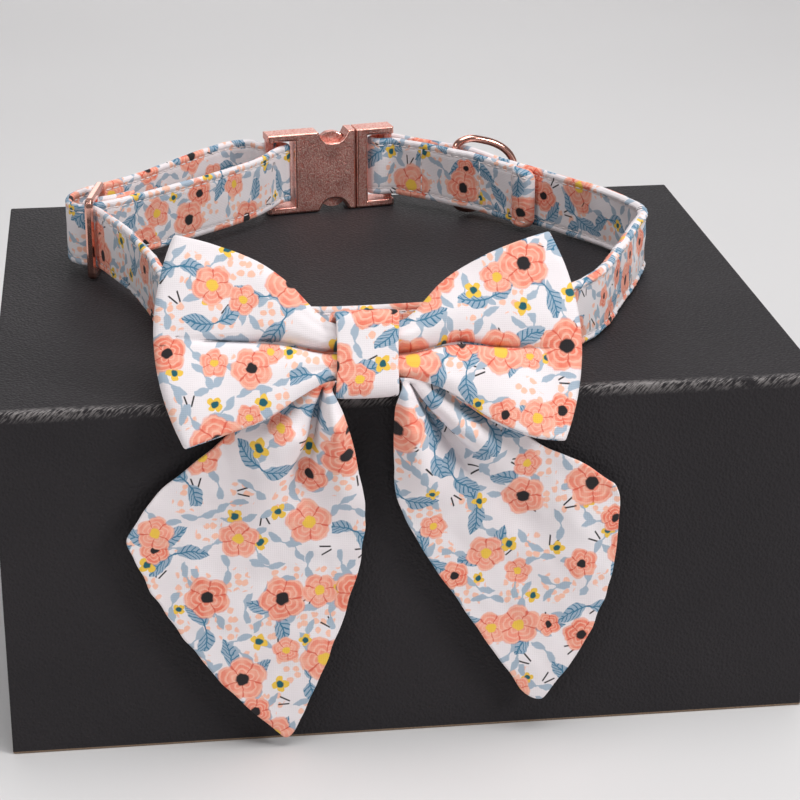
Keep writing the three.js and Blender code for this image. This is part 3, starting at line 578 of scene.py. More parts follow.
def eased(t, rise, start, end):
    """Cubic from 0 to rise while t goes from 0 to 1, with its slopes at both ends."""
    return t * start + t ** 2 * (3 * rise - 2 * start - end) + t ** 3 * (start + end - 2 * rise)


def smooth_column(table, column, at):
    """Smooth value of one column of a table, at places along its first column."""
    key = np.array(next(iter(table.values())), float)
    value = np.array(table[column], float)
    slope = np.gradient(value, key)
    slope[1:-1] = (value[2:] - value[:-2]) / (key[2:] - key[:-2])
    i = np.clip(np.searchsorted(key, at, side="right") - 1, 0, len(key) - 2)
    span = key[i + 1] - key[i]
    t = np.clip((at - key[i]) / span, 0, 1)
    return value[i] + eased(t, value[i + 1] - value[i], slope[i] * span, slope[i + 1] * span)


def fade(value, low, high):
    """Smooth step from 0 at low to 1 at high."""
    t = np.clip((value - low) / (high - low), 0, 1)
    return t * t * (3 - 2 * t)


def wave_noise(seed, u, v, wavelength, count=7):
    """Smooth seeded ripple over flat places u, v in millimetres, between about -1 and 1."""
    rng = np.random.default_rng(seed)
    total = np.zeros(np.broadcast(u, v).shape)
    for angle, phase, stretch in zip(rng.uniform(0, math.tau, count), rng.uniform(0, math.tau, count),
                                     rng.uniform(0.7, 1.5, count)):
        way = u * math.cos(angle) + v * math.sin(angle)
        total += np.sin(math.tau * way / (wavelength * stretch) + phase)
    return total / math.sqrt(2 * count)


# Strap: its plan route and the height of its lower edge above the box
RING_LIFT = 3.8
FLAP = ((22.5, 180.2, 3.9, 2.1), (30.5, 173.9, RING_LIFT, 2.1), (36.5, 168.6, RING_LIFT, 3.1),
        (42.6, 163.3, RING_LIFT - 0.5, 2), (50, 156.8, 2, 1.5), (60.5, 147, 0.8, 1.48))
FLAP_NORMAL = (0.66, 0.75)
NECK_RUN = (
    (69.8, 138.7, 0), (77, 128, 0), (83.8, 113.6, 0), (86.2, 102.4, 0), (80.2, 86, 0), (68.5, 59.8, 0),
    (62, 45.6, 0), (52, 32.2, 0), (38, 22.6, 0), (20, 19.6, 0), (-2, 18.6, 0), (-24, 18.7, 0),
    (-40, 22.6, 0), (-55, 32.6, 0), (-64.6, 48, 0), (-70, 73, 0.6), (-76, 93, 2), (-82, 105.6, 3.2),
)
OUTER_RUN = (
    (-83.8, 110.8, 3), (-86.6, 115.4, 3.25), (-91.2, 117.9, 3.25), (-94, 122.4, 3.25),
    (-93.6, 129.6, 3.25), (-89, 136.4, 3.25), (-80.6, 143.6, 3.2), (-71, 153.6, 3), (-59, 167.6, 3.2),
    (-48, 179.4, 3.5), (-40, 185.6, 3.8), (-33, 186.4, 3.9),
)
INNER_RUN = (
    (-31.5, 163.6, 3.6), (-40.6, 154.4, 3.3), (-56, 141.3, 3.1), (-71.5, 128.9, 3.1), (-79.6, 122.2, 3.25),
)
SEWN_END = ((-80.6, 127, 3.25), (-73.6, 131.8, 3.1))
STRAP_LEAN = {"reach": 42, "depth": 60}
STRAP_STEP = {"along": 0.9, "across": 0.55}
STRAP_ROUND = {"edge": 1.25, "end": 1.4}
# Where the single strap ends: beside the knot, at the flap and at the doubled length
STRAP_FREE = {"knot": 17, "back": 138, "left": -74}
# The flap ends in a thick turned hem with round corners
HEM = {"width": 8, "rise": 3}
STRAP_CORNER = 3
# Edges: rolls that stand out on the single strap, sunk stitch lines, and puckers between
ROLL = {"from_edge": 1.1, "width": 0.95, "rise": 0.5}
GROOVE = {"from_edge": 2.4, "width": 0.4, "depth": 0.22}
PUCKER = {"from_edge": 1.7, "width": 1.5, "held": 0.15, "free": 0.09, "slant": 0.6}
STITCH = {"pitch": 3.1, "length": 2.4, "width": 0.55, "sides": 6}
# Girth of a stitch along its length
STITCH_TAPER = ((-0.5, 0.15), (-0.36, 0.8), (0, 1.0), (0.36, 0.8), (0.5, 0.15))
CROSS_SEAMS = (HEM["width"] + 0.6, 21.5, 45.0)


def turn_round(bar, start, end):
    """Half turn of the strap round a bar: reach is along the buckle or slider, wrap is across it."""
    angles = np.radians(np.linspace(start, end, 5))
    line = math.radians(bar["turn"])
    along, aside = bar["reach"] * np.cos(angles), bar["wrap"] * np.sin(angles)
    x = bar["x"] + along * math.cos(line) - aside * math.sin(line)
    y = bar["y"] + along * math.sin(line) + aside * math.cos(line)
    return [(*place, bar["lift"]) for place in zip(x, y)]


def buckle_bar(side):
    turn = math.radians(BUCKLE["turn"])
    reach = side * BUCKLE["bar"]
    return {**BUCKLE, "x": BUCKLE["x"] + reach * math.cos(turn), "y": BUCKLE["y"] + reach * math.sin(turn)}


def flap_layer(side):
    right, back = FLAP_NORMAL
    return [(x + side * gap * right, y + side * gap * back, lift) for x, y, lift, gap in FLAP]


def smooth_route(points, steps=12):
    """Centripetal curve through given points."""
    points = np.array(points, float)
    padded = np.vstack([2 * points[0] - points[1], points, 2 * points[-1] - points[-2]])
    t = (np.arange(steps) / steps)[:, None]
    pieces = []
    for p0, p1, p2, p3 in zip(padded, padded[1:], padded[2:], padded[3:]):
        d0, d1, d2 = (math.sqrt(np.linalg.norm(b - a)) for a, b in ((p0, p1), (p1, p2), (p2, p3)))
        start = ((p1 - p0) / d0 - (p2 - p0) / (d0 + d1) + (p2 - p1) / d1) * d1
        end = ((p2 - p1) / d1 - (p3 - p1) / (d1 + d2) + (p3 - p2) / d2) * d1
        pieces.append(p1 + eased(t, p2 - p1, start, end))
    return np.vstack([*pieces, points[-1:]])


def along_line(points):
    return np.concatenate([[0], np.cumsum(np.linalg.norm(np.diff(points, axis=0), axis=1))])


def sampled(at, length, table):
    """Rows of a table read at places along its own length."""
    return np.stack([np.interp(at, length, column) for column in table.T], axis=1)


def strap_frames():
    """Stations along the strap: distance, middle, and the ways along, out of its face and up its width."""
    route = smooth_route([
        *reversed(flap_layer(-1)),
        *turn_round(buckle_bar(1), -80, -280),
        *flap_layer(1), *NECK_RUN, *OUTER_RUN,
        *turn_round(buckle_bar(-1), 105, -65),
        *INNER_RUN,
        *turn_round(SLIDER, -190, -350),
        *SEWN_END,
    ])
    length = along_line(route)
    at = edge_spacing(length[-1], STRAP_STEP["along"])
    place = sampled(at, length, route)
    tangent = unit(np.gradient(place, at, axis=0))
    outward = unit(np.stack([-tangent[:, 1], tangent[:, 0], np.zeros(len(at))], axis=1))
    aside = (place[:, 0] - BOW["x"]) / STRAP_LEAN["reach"]
    lean = np.radians(BOW["lean"]) * np.exp(-aside ** 4) * (place[:, 1] < STRAP_LEAN["depth"])
    sine, cosine = np.sin(lean)[:, None], np.cos(lean)[:, None]
    vertical = np.array([0, 0, 1.0])
    across = outward * cosine + vertical * sine
    up = vertical * cosine - outward * sine
    rise = np.cos(lean) * STRAP_WIDTH / 2 + np.sin(lean) * STRAP_THICKNESS / 2
    middle = np.stack([place[:, 0], place[:, 1], DECK_TOP + place[:, 2] + rise], axis=1)
    return at, middle, tangent, across, up


def strap_free(middle):
    """1 along the single strap that nothing lies close to, 0 at the flap, the doubled length and the knot."""
    x, y = middle[:, 0], middle[:, 1]
    knot = np.exp(-((x - BOW["x"]) / STRAP_FREE["knot"]) ** 4) * (y < STRAP_LEAN["depth"])
    return fade(STRAP_FREE["back"] - y, 0, 10) * fade(x - STRAP_FREE["left"], 0, 8) * (1 - knot)


def bump_at(edge, shape):
    """Rounded bump at its own distance from the strap's edge."""
    return np.exp(-((edge - shape["from_edge"]) / shape["width"]) ** 2)


def strap_half(at, rise, free):
    """Half thickness of the strap: rolled edges, sunk stitch lines with puckers, and a soft crown between."""
    edge = STRAP_WIDTH / 2 - np.abs(rise)
    beat = math.tau * at / STITCH["pitch"] + PUCKER["slant"] * edge * np.sign(rise)
    uneven = 0.6 + 0.5 * wave_noise(3, at, rise, 13)
    pucker = bump_at(edge, PUCKER) * np.sin(beat) * uneven
    full = STRAP_THICKNESS / 2 * (1 - GROOVE["depth"] * bump_at(edge, GROOVE)) - 0.1
    full = full + (PUCKER["held"] + PUCKER["free"] * free) * pucker
    full = full + ROLL["rise"] * free * bump_at(edge, ROLL)
    full = full + (0.05 + 0.07 * free) * wave_noise(5, at, rise, 7)
    full = full + hem_rise(at) / 2
    end = np.minimum(at, STRAP_LENGTH - at)
    edge_share = rounded_edge(edge, STRAP_ROUND["edge"]) / STRAP_ROUND["edge"]
    end_share = rounded_edge(end, STRAP_ROUND["end"]) / STRAP_ROUND["end"]
    return np.minimum(edge_share, end_share) * full


def hem_rise(at):
    """How far the turned hem stands out from the flap's neck side."""
    from_crown = at / HEM["width"] * 2 - 1
    return HEM["rise"] * np.sqrt(np.clip(1 - from_crown ** 2, 0, 1))


def strap_sway(at, rise, free):
    """How far the middle of the strap wanders from its route, out of its face."""
    ripple = 0.1 * wave_noise(9, at, rise, 16) + 0.22 * free * wave_noise(15, at, 0.5 * rise, 11)
    return ripple + hem_rise(at) / 2


def stitch_run(places, along, out):
    """Short threads, each a tapered rod sunk into the cloth: the points and faces of all of them."""
    sides = STITCH["sides"]
    third = np.cross(along, out)
    angle = np.arange(sides) * math.tau / sides
    rings = []
    for share, girth in STITCH_TAPER:
        hub = places + along * (share * STITCH["length"])
        for a in angle:
            rings.append(hub + girth * STITCH["width"] / 2 * (out * math.cos(a) + third * math.sin(a)))
    points = np.stack(rings, axis=1)
    count = len(STITCH_TAPER) * sides
    caps = [list(range(sides))[::-1], list(range(count - sides, count))]
    shape = tube_faces(len(STITCH_TAPER), sides) + caps
    faces = [[i * count + k for k in face] for i in range(len(places)) for face in shape]
    return points.reshape(-1, 3), faces


STRAP = strap_frames()
STRAP_LENGTH = STRAP[0][-1]


def make_strap():
    at, middle, along, out, up = STRAP
    free = strap_free(middle)
    side = STRAP_WIDTH / 2
    rise = edge_spacing(STRAP_WIDTH, STRAP_STEP["across"]) - side
    station, grid_rise = np.meshgrid(at, rise, indexing="ij")
    half = strap_half(station, grid_rise, free[:, None])
    # The end with the hem is drawn in to round corners
    from_end, from_edge = round_corner(station, side - np.abs(grid_rise), STRAP_CORNER)
    near_end = station < STRAP_CORNER
    shift = np.where(near_end, from_end - station, 0)
    grid_rise = np.where(near_end, np.sign(grid_rise) * (side - from_edge), grid_rise)
    grid_at = station + shift
    sway = strap_sway(grid_at, grid_rise, free[:, None])
    points = middle[:, None] + up[:, None] * grid_rise[..., None] + out[:, None] * sway[..., None]
    points = points + along[:, None] * shift[..., None]
    cloth = np.stack([grid_at, grid_rise + CLOTH_PLACE["strap"]], axis=2)
    normal = np.repeat(out[:, None], len(rise), axis=1)
    strap = thick_cloth("strap_cloth", points, half, cloth, normal=normal)
    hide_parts("strap")

    # Stitches: where each one lies along the strap and up its width, and the way that it runs
    stops = np.arange(2.5, at[-1] - 2, STITCH["pitch"])
    rows = np.arange(4 - side, side - 3.4, STITCH["pitch"])
    inset = side - GROOVE["from_edge"]
    lines = [(stops, np.full(len(stops), height), along) for height in (-inset, inset)]
    lines += [(np.full(len(rows), seam), rows, up) for seam in CROSS_SEAMS]
    spots, ways, outs = [], [], []
    for places, heights, way in lines:
        hub, run, face, lift = (sampled(places, at, part) for part in (middle, way, out, up))
        loose = np.interp(places, at, free)
        depth = strap_half(places, heights, loose)
        middle_out = strap_sway(places, heights, loose)
        for facing in (-1, 1):
            spots.append(hub + lift * heights[:, None] + face * (middle_out + facing * depth)[:, None])
            ways.append(unit(run))
            outs.append(facing * unit(face))
    points, faces = stitch_run(np.vstack(spots), np.vstack(ways), np.vstack(outs))
    seams = new_piece("strap_topstitching", points, faces, THREAD)


make_strap()


# Bow: on a plane that leans back; across is X, up follows the lean, out is towards the front
LEFT_WING = {"reach": (0, 10.8, 21.5, 30, 42, 53), "top": (8.9, 9.4, 20.8, 27.4, 32.6, 36),
             "bottom": (-5.8, -6.1, -11.5, -16.4, -20.2, -23.5)}
RIGHT_WING = {"reach": (0, 10.8, 22, 33, 44, 53), "top": (8.9, 9.4, 20, 26.2, 30.4, 33),
              "bottom": (-6.3, -6.7, -11.6, -19.6, -24.6, -26.2)}
WING_END = {"left": 51, "right": 52.2, "bulge": 6.9}
LOBE = {
    "left_crease": 0.5, "right_crease": 0.45, "width": 0.15, "softness": 0.03, "depth": 4.6, "end_depth": 0.8,
}
LAYER_GAP = 1.75
CREASE = {"depth": 5.5, "width": 1.15, "near": 0.4, "far": 0.92, "edge": 2.4}
GATHERS = {"depth": 0.6, "middle": 0.18, "reach": 0.3}
LOWER_PUSH = 4
# Grid of the band: steps round it, how far they crowd at its ends, and its height and step across in mm
BOW_GRID = {"round": 168, "crowd": 0.32, "tall": 50, "step": 0.65}


def bow_place(across, up, out):
    lean = math.radians(BOW["lean"])
    x = BOW["x"] + across
    y = BOW["y"] + up * math.sin(lean) - out * math.cos(lean)
    z = BOW["z"] + up * math.cos(lean) + out * math.sin(lean)
    return np.stack(np.broadcast_arrays(x, y, z), axis=-1)


def bow_grid(turn, height):
    """Middle of the band's wall, round the band and from its lower to its upper edge, and its flat place."""
    along = np.cos(turn)
    is_left = along < 0
    reach = np.abs(along)
    side = np.tanh(5 * np.sin(turn))
    end = np.where(is_left, WING_END["left"], WING_END["right"])
    across = along * (end + WING_END["bulge"] * (1 - (2 * height - 1) ** 2))
    at = reach * WING_END["right"]
    left_edges = [smooth_column(LEFT_WING, edge, at) for edge in ("bottom", "top")]
    right_edges = [smooth_column(RIGHT_WING, edge, at) for edge in ("bottom", "top")]
    bottom, top = np.where(is_left, left_edges, right_edges)
    tall = top - bottom
    up = bottom + tall * height
    crease = np.where(is_left, LOBE["left_crease"], LOBE["right_crease"])
    away = np.hypot(height - crease, LOBE["softness"]) - LOBE["softness"]
    rounding = (1 - np.exp(-away / LOBE["width"])) * (1 - np.abs(2 * height - 1) ** 4)
    lobe = (LOBE["end_depth"] + LOBE["depth"] * (1 - reach) ** 1.2) * rounding
    fold = CREASE["depth"] * (1 - fade(reach, CREASE["near"], CREASE["far"]))
    from_crease = np.abs((height - crease) * tall / CREASE["width"])
    groove = fold * np.exp(-from_crease ** CREASE["edge"]) * (side > 0)
    gather = GATHERS["depth"] * np.exp(-((reach - GATHERS["middle"]) / GATHERS["reach"]) ** 2)
    waves = np.sin(math.tau * 3.2 * height + 1.1 * is_left) - 0.4 * np.sin(math.tau * 5.7 * height + 2)
    push = LOWER_PUSH * (1 - height) ** 2 * np.minimum(1, 3 * reach)
    soft = 0.45 * wave_noise(21, across, up + 90 * (side > 0), 22) * fade(reach, 0.2, 0.5)
    soft = soft + 0.07 * wave_noise(27, across, up, 6)
    out = push + side * (LAYER_GAP + lobe + 0.6 * gather * waves) - groove + soft
    layer = np.where(np.sin(turn) > 0, CLOTH_PLACE["bow_front"], CLOTH_PLACE["bow_back"])
    flat = np.stack([across + layer, up + CLOTH_PLACE["bow_up"]], axis=-1)
    return bow_place(across, up, out), flat


def make_bow_loops():
    steps, tall = BOW_GRID["round"], BOW_GRID["tall"]
    share = (np.arange(steps + 1) + 0.5) / steps
    turn = math.tau * share - BOW_GRID["crowd"] * np.sin(2 * math.tau * share)
    creases = np.array([LOBE["left_crease"], LOBE["right_crease"]])
    near_crease = np.add.outer(creases, np.linspace(-0.05, 0.05, 11)).ravel()
    height = np.concatenate([edge_spacing(tall, BOW_GRID["step"]) / tall, near_crease])
    height = np.unique(height.round(4))
    grid_turn, grid_height = np.meshgrid(turn, height, indexing="ij")
    middle, flat = bow_grid(grid_turn, grid_height)
    edge = np.minimum(grid_height, 1 - grid_height) * tall
    half = rounded_edge(edge, CLOTH_HALF)
    loops = thick_cloth("bow_loops_cloth", middle[:-1], half[:-1], flat, is_ring=True)
    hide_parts("bow_loops")
    return loops


loops = make_bow_loops()


# Knot: a band of cloth round the pinch, its corners in the bow's own plane, seen from the side
KNOT = {"left": -9.1, "right": 8.5, "lean": 0.055}
KNOT_CORNERS = ((7.5, -12.6), (7.5, 11.7), (-11.3, 11), (-11.3, -4.2))
KNOT_RADII = (5.6, 3.6, 3.6, 3.6)
KNOT_PUFF = {"crown": 0.45, "crinkle": 0.12, "length": 11}
KNOT_PINCH = {"depth": 0.4, "from": -12.6, "over": 24}
KNOT_GRID = {"corner": 9, "round": 97, "step": 0.6}


def make_knot():
    """Band with rounded corners and slightly flared, rolled sides."""
    corners = np.array(KNOT_CORNERS, float)
    ring = []
    for i, corner in enumerate(corners):
        ways = [corners[(i + k) % 4] - corner for k in (3, 1)]
        before, after = (corner + way / np.linalg.norm(way) * KNOT_RADII[i] for way in ways)
        for t in np.linspace(0, 1, KNOT_GRID["corner"]):
            ring.append((1 - t) ** 2 * before + 2 * t * (1 - t) * corner + t ** 2 * after)
    ring = np.array(ring + ring[:1])
    length = along_line(ring)
    at = np.linspace(0, length[-1], KNOT_GRID["round"])
    ring = sampled(at, length, ring)
    width = KNOT["right"] - KNOT["left"]
    aside = edge_spacing(width, KNOT_GRID["step"])
    grid_at, grid_aside = np.meshgrid(at, aside, indexing="ij")
    centre = ring[:-1].mean(axis=0)
    way = np.gradient(np.vstack([ring[-2], ring, ring[1]]), axis=0)[1:-1]
    outward = unit(np.stack([way[:, 1], -way[:, 0]], axis=1))
    outward *= np.sign(((ring - centre) * outward).sum(axis=1))[:, None]
    share = grid_aside / width * 2 - 1
    crinkle = KNOT_PUFF["crinkle"] * wave_noise(33, grid_at, grid_aside, KNOT_PUFF["length"])
    puff = KNOT_PUFF["crown"] * (1 - share ** 2) + crinkle * (1 - share ** 4)
    out = ring[:, None, 0] + outward[:, None, 0] * puff
    up = ring[:, None, 1] + outward[:, None, 1] * puff
    climb = np.clip((up - KNOT_PINCH["from"]) / KNOT_PINCH["over"], 0, 1)
    pinch = KNOT_PINCH["depth"] * np.sin(math.pi * climb)
    across = KNOT["left"] + grid_aside - pinch * share + KNOT["lean"] * (up - 8)
    middle = bow_place(across, up, out)
    half = rounded_edge(np.minimum(grid_aside, width - grid_aside), CLOTH_HALF)
    flat = np.stack([grid_aside + CLOTH_PLACE["knot"], grid_at], axis=2)
    knot = thick_cloth("bow_knot_cloth", middle[:-1], half[:-1], flat, is_ring=True)
    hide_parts("bow_knot")


make_knot()


# Tails: rows of cloth from the knot to the slanting end, whose middle bulges by the belly
TAIL_ROWS = (0, 0.06, 0.14, 0.3, 0.55, 0.8, 1)
TAIL_Y = (-4.9, -4.6, -3.9, -3.8, -4.4, -5.0, -5.6)
LEFT_TAIL = {
    "down": TAIL_ROWS, "y": TAIL_Y,
    "left_x": (-21.8, -26, -32.6, -46, -61, -73, -81.4), "left_z": (112, 111.4, 109, 101.6, 90, 79.8, 67),
    "right_x": (-22.6, -23.1, -20.6, -17.3, -14.6, -20.4, -36.4),
    "right_z": (110.8, 109, 102.6, 90, 68, 42, 1.2),
}
RIGHT_TAIL = {
    "down": TAIL_ROWS, "y": TAIL_Y,
    "left_x": (-4.4, -4.3, -5.9, -6.2, -4.2, 8.6, 34.2), "left_z": (110.8, 109, 102.6, 88, 72, 48.6, 8.4),
    "right_x": (-4.8, -0.6, 6.4, 20, 36, 48.4, 57), "right_z": (112, 111.4, 109, 101.6, 89.4, 83, 77),
}
TAIL_CORNER = 3.5
TAIL_TUCK = 2
TAIL_STEP = {"down": 0.9, "across": 0.8}
# Uneven cut edges, then the depth and length of the soft crinkles
EDGE_WANDER = {"depth": 0.3, "length": 11}
CRINKLES = ((0.4, 26), (0.26, 12), (0.09, 6))
# Cloth this close to the box's front is slowed, and stops short of it
BOX_STOP = {"from": -2, "over": 1.1}
# Folds: furrows pushed back, and ridges with a depth below 0, along lines that run down from the knot
LEFT_FOLDS = (
    {"x": (-25.6, -27.4, -28.4, -30, -33, -36), "z": (109.5, 103, 97, 91, 84, 72),
     "depth": (5, 11, 12, 9, 3.4, 0), "width": (0.8, 1.2, 1.5, 2.1, 3.8, 7), "edge": 2.6},
    {"x": (-23.8, -22.8, -21.6, -20), "z": (107, 100, 90, 68),
     "depth": (-3.6, -8, -6, 0), "width": (2.4, 3.6, 5, 7)},
    {"x": (-30, -35, -42, -50), "z": (106.5, 98, 88, 70), "depth": (-2, -6.6, -5, 0), "width": (3, 5, 8, 10)},
    {"x": (-28, -36, -44), "z": (66, 56, 42), "depth": (0, 1.2, 0), "width": (6, 6, 8)},
    {"x": (-52, -58, -62), "z": (84, 70, 56), "depth": (0, 0.9, 0), "width": (5, 6, 7)},
    {"x": (-24, -30, -34), "z": (40, 30, 18), "depth": (0, -0.8, 0), "width": (5, 6, 6)},
)
RIGHT_FOLDS = (
    {"x": (-1.6, 1.4, 5.4, 10, 14.6, 19), "z": (109.6, 104, 98, 92.6, 86.6, 76),
     "depth": (5, 10, 12, 11, 5, 0), "width": (0.7, 1, 1.4, 2.1, 3.2, 6), "edge": 2.6},
    {"x": (2, 8, 14, 20, 27), "z": (108, 102.4, 97, 91, 82),
     "depth": (-1.6, -5.4, -7, -5, 0), "width": (2.4, 3.2, 4.4, 6, 8)},
    {"x": (-3, -2, 1, 6), "z": (107, 98, 86, 70), "depth": (-3.6, -8, -6, 0), "width": (2.4, 3.6, 5.4, 8)},
    {"x": (17, 24, 31, 37), "z": (82, 74, 66.5, 58), "depth": (0, 2.2, 1.8, 0), "width": (3.6, 4.4, 5.4, 7)},
    {"x": (8, 16, 26), "z": (68, 58, 44), "depth": (0, 0.9, 0), "width": (5, 6, 7)},
    {"x": (40, 46, 49), "z": (78, 64, 48), "depth": (0, -1.3, 0), "width": (5, 7, 7)},
)


def fold_push(x, z, fold):
    """How far one fold pushes the cloth back, at places x and z."""
    nearest = np.full(x.shape, np.inf)
    push = np.zeros(x.shape)
    rows = np.array([fold[column] for column in ("x", "z", "depth", "width")], float).T
    for (x0, z0, depth0, width0), (x1, z1, depth1, width1) in zip(rows, rows[1:]):
        run_x, run_z = x1 - x0, z1 - z0
        share = np.clip(((x - x0) * run_x + (z - z0) * run_z) / (run_x ** 2 + run_z ** 2), 0, 1)
        away = np.hypot(x - x0 - share * run_x, z - z0 - share * run_z)
        width = width0 + share * (width1 - width0)
        furrow = (depth0 + share * (depth1 - depth0)) * np.exp(-(away / width) ** fold.get("edge", 2))
        push = np.where(away < nearest, furrow, push)
        nearest = np.minimum(nearest, away)
    return push


def make_tail(name, node, table, folds, belly, seed, flat_size):
    """One tail: its rows laid out from the table, then folded, crinkled and kept off the box."""
    long, wide = flat_size
    down = edge_spacing(long, TAIL_STEP["down"]) / long
    aside = edge_spacing(wide, TAIL_STEP["across"]) / wide
    grid_down, grid_aside = np.meshgrid(down, aside, indexing="ij")
    from_end, from_left = round_corner((1 - grid_down) * long, grid_aside * wide, TAIL_CORNER)
    from_end, from_right = round_corner(from_end, wide - from_left, TAIL_CORNER)
    row, column = 1 - from_end / long, 1 - from_right / wide
    at = {key: smooth_column(table, key, row) for key in table}
    bulge = 4 * column * (1 - column) * row ** 3
    x = at["left_x"] + (at["right_x"] - at["left_x"]) * column + belly[0] * bulge
    z = at["left_z"] + (at["right_z"] - at["left_z"]) * column + belly[1] * bulge
    uneven = EDGE_WANDER["depth"] * fade(row, 0.3, 0.5)
    x = x + uneven * wave_noise(seed + 3, x, z, EDGE_WANDER["length"])
    z = z + uneven * wave_noise(seed + 4, x, z, EDGE_WANDER["length"])
    push = sum(fold_push(x, z, fold) for fold in folds)
    crinkle = sum(deep * wave_noise(seed + k, x, z, length) for k, (deep, length) in enumerate(CRINKLES))
    # The upper outer corner lies back, behind the wing, and the deepest furrows stop at the box
    tuck = TAIL_TUCK * fade(z, 95, 103) * fade(np.abs(x - BOW["x"]), 14, 22)
    deep = at["y"] + push + crinkle * fade(row, 0.08, 0.4) + tuck
    past = np.clip(deep - BOX_STOP["from"], 0, None)
    slowed = BOX_STOP["from"] + BOX_STOP["over"] * (1 - np.exp(-past / BOX_STOP["over"]))
    y = np.where(past > 0, slowed, deep)
    middle = np.stack([x, y, z], axis=2)
    spans = np.linalg.norm(np.diff(middle, axis=1), axis=2).sum(axis=1)[:, None]
    from_side = np.minimum(grid_aside, 1 - grid_aside) * spans
    edge = np.minimum(from_side, np.minimum(grid_down, 1 - grid_down) * long)
    half = rounded_edge(edge, CLOTH_HALF)
    flat = np.stack([x + TAIL_CLOTH_STEP[0] * seed, z + TAIL_CLOTH_STEP[1] * seed], axis=2)
    tail = thick_cloth(name, middle, half, flat)
    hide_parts(node)


make_tail("tail_left_cloth", "tail_left", LEFT_TAIL, LEFT_FOLDS, (-3.7, -2.7), 41, (112, 81))
make_tail("tail_right_cloth", "tail_right", RIGHT_TAIL, RIGHT_FOLDS, (7.9, -2.7), 47, (106, 72))


# Metal hardware and the box keep their built shapes, with rounded edges
def dress_node(name, materials, bevel, segments):
    """Finish on a built node: corners joined, flat facets merged, edges rounded in the last material."""
    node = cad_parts[name]
    node.data.materials.clear()
    for material in materials:
        node.data.materials.append(material)
    node.data.polygons.foreach_set("use_smooth", [False] * len(node.data.polygons))
    weld = node.modifiers.new("weld", "WELD")
    weld.merge_threshold = 0.01 * MM
    merge = node.modifiers.new("merge", "DECIMATE")
    merge.decimate_type = "DISSOLVE"
    merge.angle_limit = math.radians(1)
    edge = node.modifiers.new("edge", "BEVEL")
    edge.width = bevel * MM
    edge.segments = segments
    edge.limit_method = "ANGLE"
    edge.angle_limit = math.radians(35)
    edge.material = len(materials) - 1


for half_name in ("buckle_female", "buckle_male"):
    dress_node(half_name, (SATIN_GOLD, BRIGHT_GOLD), 0.22, 2)
dress_node("slider", (BRIGHT_GOLD,), 0.3, 3)
dress_node("display_box", (BOARD,), 0.6, 3)


# Wire ring: its arch is a rounded oval from one corner to the other, and its girth has this many sides
ARCH = {"power": 2 / 2.2, "corner": 0.17, "points": 12}
WIRE_SIDES = 16
ROUTE_STEPS = 10


def make_d_ring():
    """Round wire bent into a straight bar and an arch, standing upright on its bar."""
    loop = []
    for a in np.linspace(ARCH["corner"], math.pi - ARCH["corner"], ARCH["points"]):
        aside = math.copysign(abs(math.cos(a)) ** ARCH["power"], math.cos(a))
        loop.append((D_RING["depth"] * math.sin(a) ** ARCH["power"], D_RING["half"] * aside))
    corner = D_RING["half"] - 2
    loop = np.array(loop + [(0, height) for height in np.linspace(-corner, corner, 5)])
    first = 2 * ROUTE_STEPS
    line = smooth_route(np.vstack([loop[-2:], loop, loop[:3]]), ROUTE_STEPS)
    line = line[first:first + ROUTE_STEPS * len(loop)]
    way = unit(np.roll(line, -1, axis=0) - np.roll(line, 1, axis=0))
    girth = np.arange(WIRE_SIDES) * math.tau / WIRE_SIDES
    radius = D_RING["wire"] / 2
    turn = math.radians(D_RING["turn"])
    reach = line[:, None, 0] - way[:, None, 1] * radius * np.cos(girth)
    height = line[:, None, 1] + way[:, None, 0] * radius * np.cos(girth)
    thick = np.broadcast_to(radius * np.sin(girth), reach.shape)
    x = D_RING["x"] + reach * math.cos(turn) - thick * math.sin(turn)
    y = D_RING["y"] + reach * math.sin(turn) + thick * math.cos(turn)
    points = np.stack([x, y, D_RING["z"] + height], axis=2).reshape(-1, 3)
    faces = tube_faces(len(line), WIRE_SIDES, is_ring=True)
    ring = new_piece("d_ring_wire", points, faces, BRIGHT_GOLD, "lead_ring")
    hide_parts("d_ring")


make_d_ring()


# Floor, backdrop and soft studio light, in metres
SWEEP = {"front": -2.5, "bend": 0.9, "radius": 0.9, "top": 4, "half": 3}


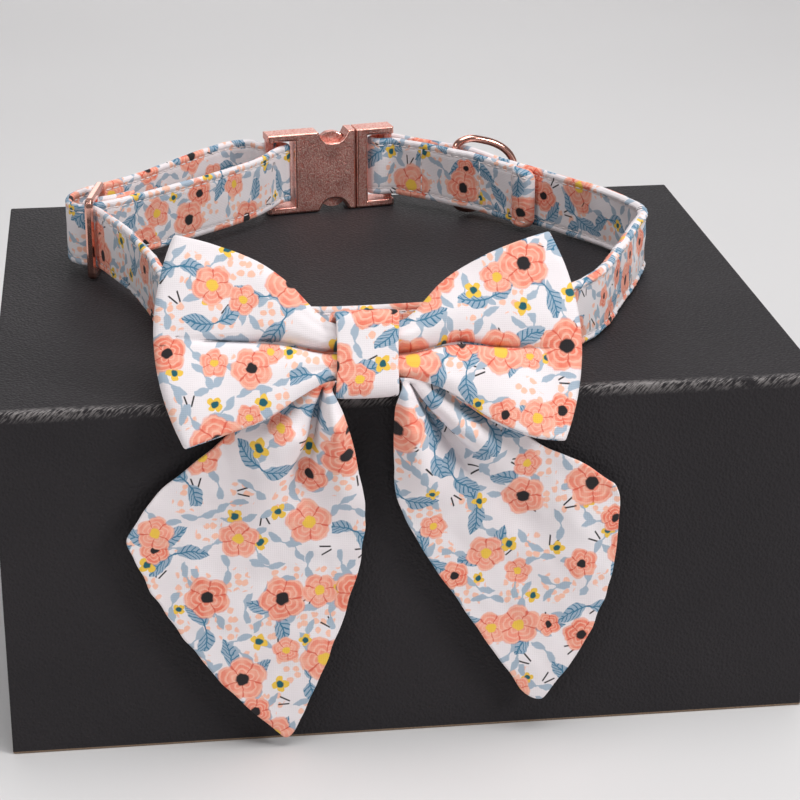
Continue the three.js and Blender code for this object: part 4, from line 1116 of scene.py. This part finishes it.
def make_stage():
    """Paper sweep: a flat floor, a bend and an upright back."""
    bend, radius = SWEEP["bend"], SWEEP["radius"]
    angle = np.linspace(0.1, math.pi / 2, 14)
    depth = np.concatenate([[SWEEP["front"], bend], bend + radius * np.sin(angle), [bend + radius]])
    height = np.concatenate([[0, 0], radius * (1 - np.cos(angle)), [SWEEP["top"]]])
    points = [(side * SWEEP["half"], y, z) for y, z in zip(depth, height) for side in (-1, 1)]
    faces = [(2 * i, 2 * i + 1, 2 * i + 3, 2 * i + 2) for i in range(len(depth) - 1)]
    mesh = bpy.data.meshes.new("studio_sweep")
    mesh.from_pydata(points, [], faces)
    mesh.polygons.foreach_set("use_smooth", [True] * len(mesh.polygons))
    material, tree = new_material("painted_studio_paper")
    spot = add(tree, "NewGeometry").outputs["Position"]
    tone = add(tree, "TexNoise", {"Vector": spot, "Scale": 3})
    colour = add(tree, "Mix", {0: tone, 6: linear("#E4E2E2"), 7: linear("#DDDBDB")}, data_type="RGBA")
    shader = add(tree, "BsdfPrincipled", {"Base Color": colour, "Roughness": 0.6})
    add(tree, "OutputMaterial", {"Surface": shader})
    mesh.materials.append(material)
    sweep = bpy.data.objects.new("studio_sweep", mesh)
    scene.collection.objects.link(sweep)


LIGHTS = (
    {"name": "overhead", "place": (0.2, -0.25, 1.5), "aim": (0, 0, 0.1), "size": 1.0, "power": 15},
    {"name": "front_right", "place": (1.55, -1.05, 1.05), "aim": (0, 0, 0.1), "size": 0.6, "power": 18},
    {"name": "front_left", "place": (-1.4, -1.1, 0.9), "aim": (0, 0, 0.1), "size": 0.8, "power": 7},
    {"name": "backdrop", "place": (0, 0.7, 1.9), "aim": (0, 1.5, 0.4), "size": 1.2, "power": 3.6},
    {"name": "back_card", "place": (0.1, 1.5, 0.62), "aim": (0, 0, 0.12), "size": 0.6, "power": 1.1},
)
AMBIENT = 0.18


def make_lights():
    for entry in LIGHTS:
        data = bpy.data.lights.new(entry["name"], "AREA")
        data.size = entry["size"]
        data.energy = entry["power"]
        light = bpy.data.objects.new(entry["name"], data)
        light.location = entry["place"]
        way = Vector(entry["aim"]) - Vector(entry["place"])
        light.rotation_euler = way.to_track_quat("-Z", "Y").to_euler()
        scene.collection.objects.link(light)
    world = bpy.data.worlds.new("studio")
    world.use_nodes = True
    sky = world.node_tree.nodes["Background"]
    sky.inputs["Color"].default_value = linear("#F2F4F7")
    sky.inputs["Strength"].default_value = AMBIENT
    scene.world = world


make_stage()
make_lights()
scene.view_settings.view_transform = "Standard"
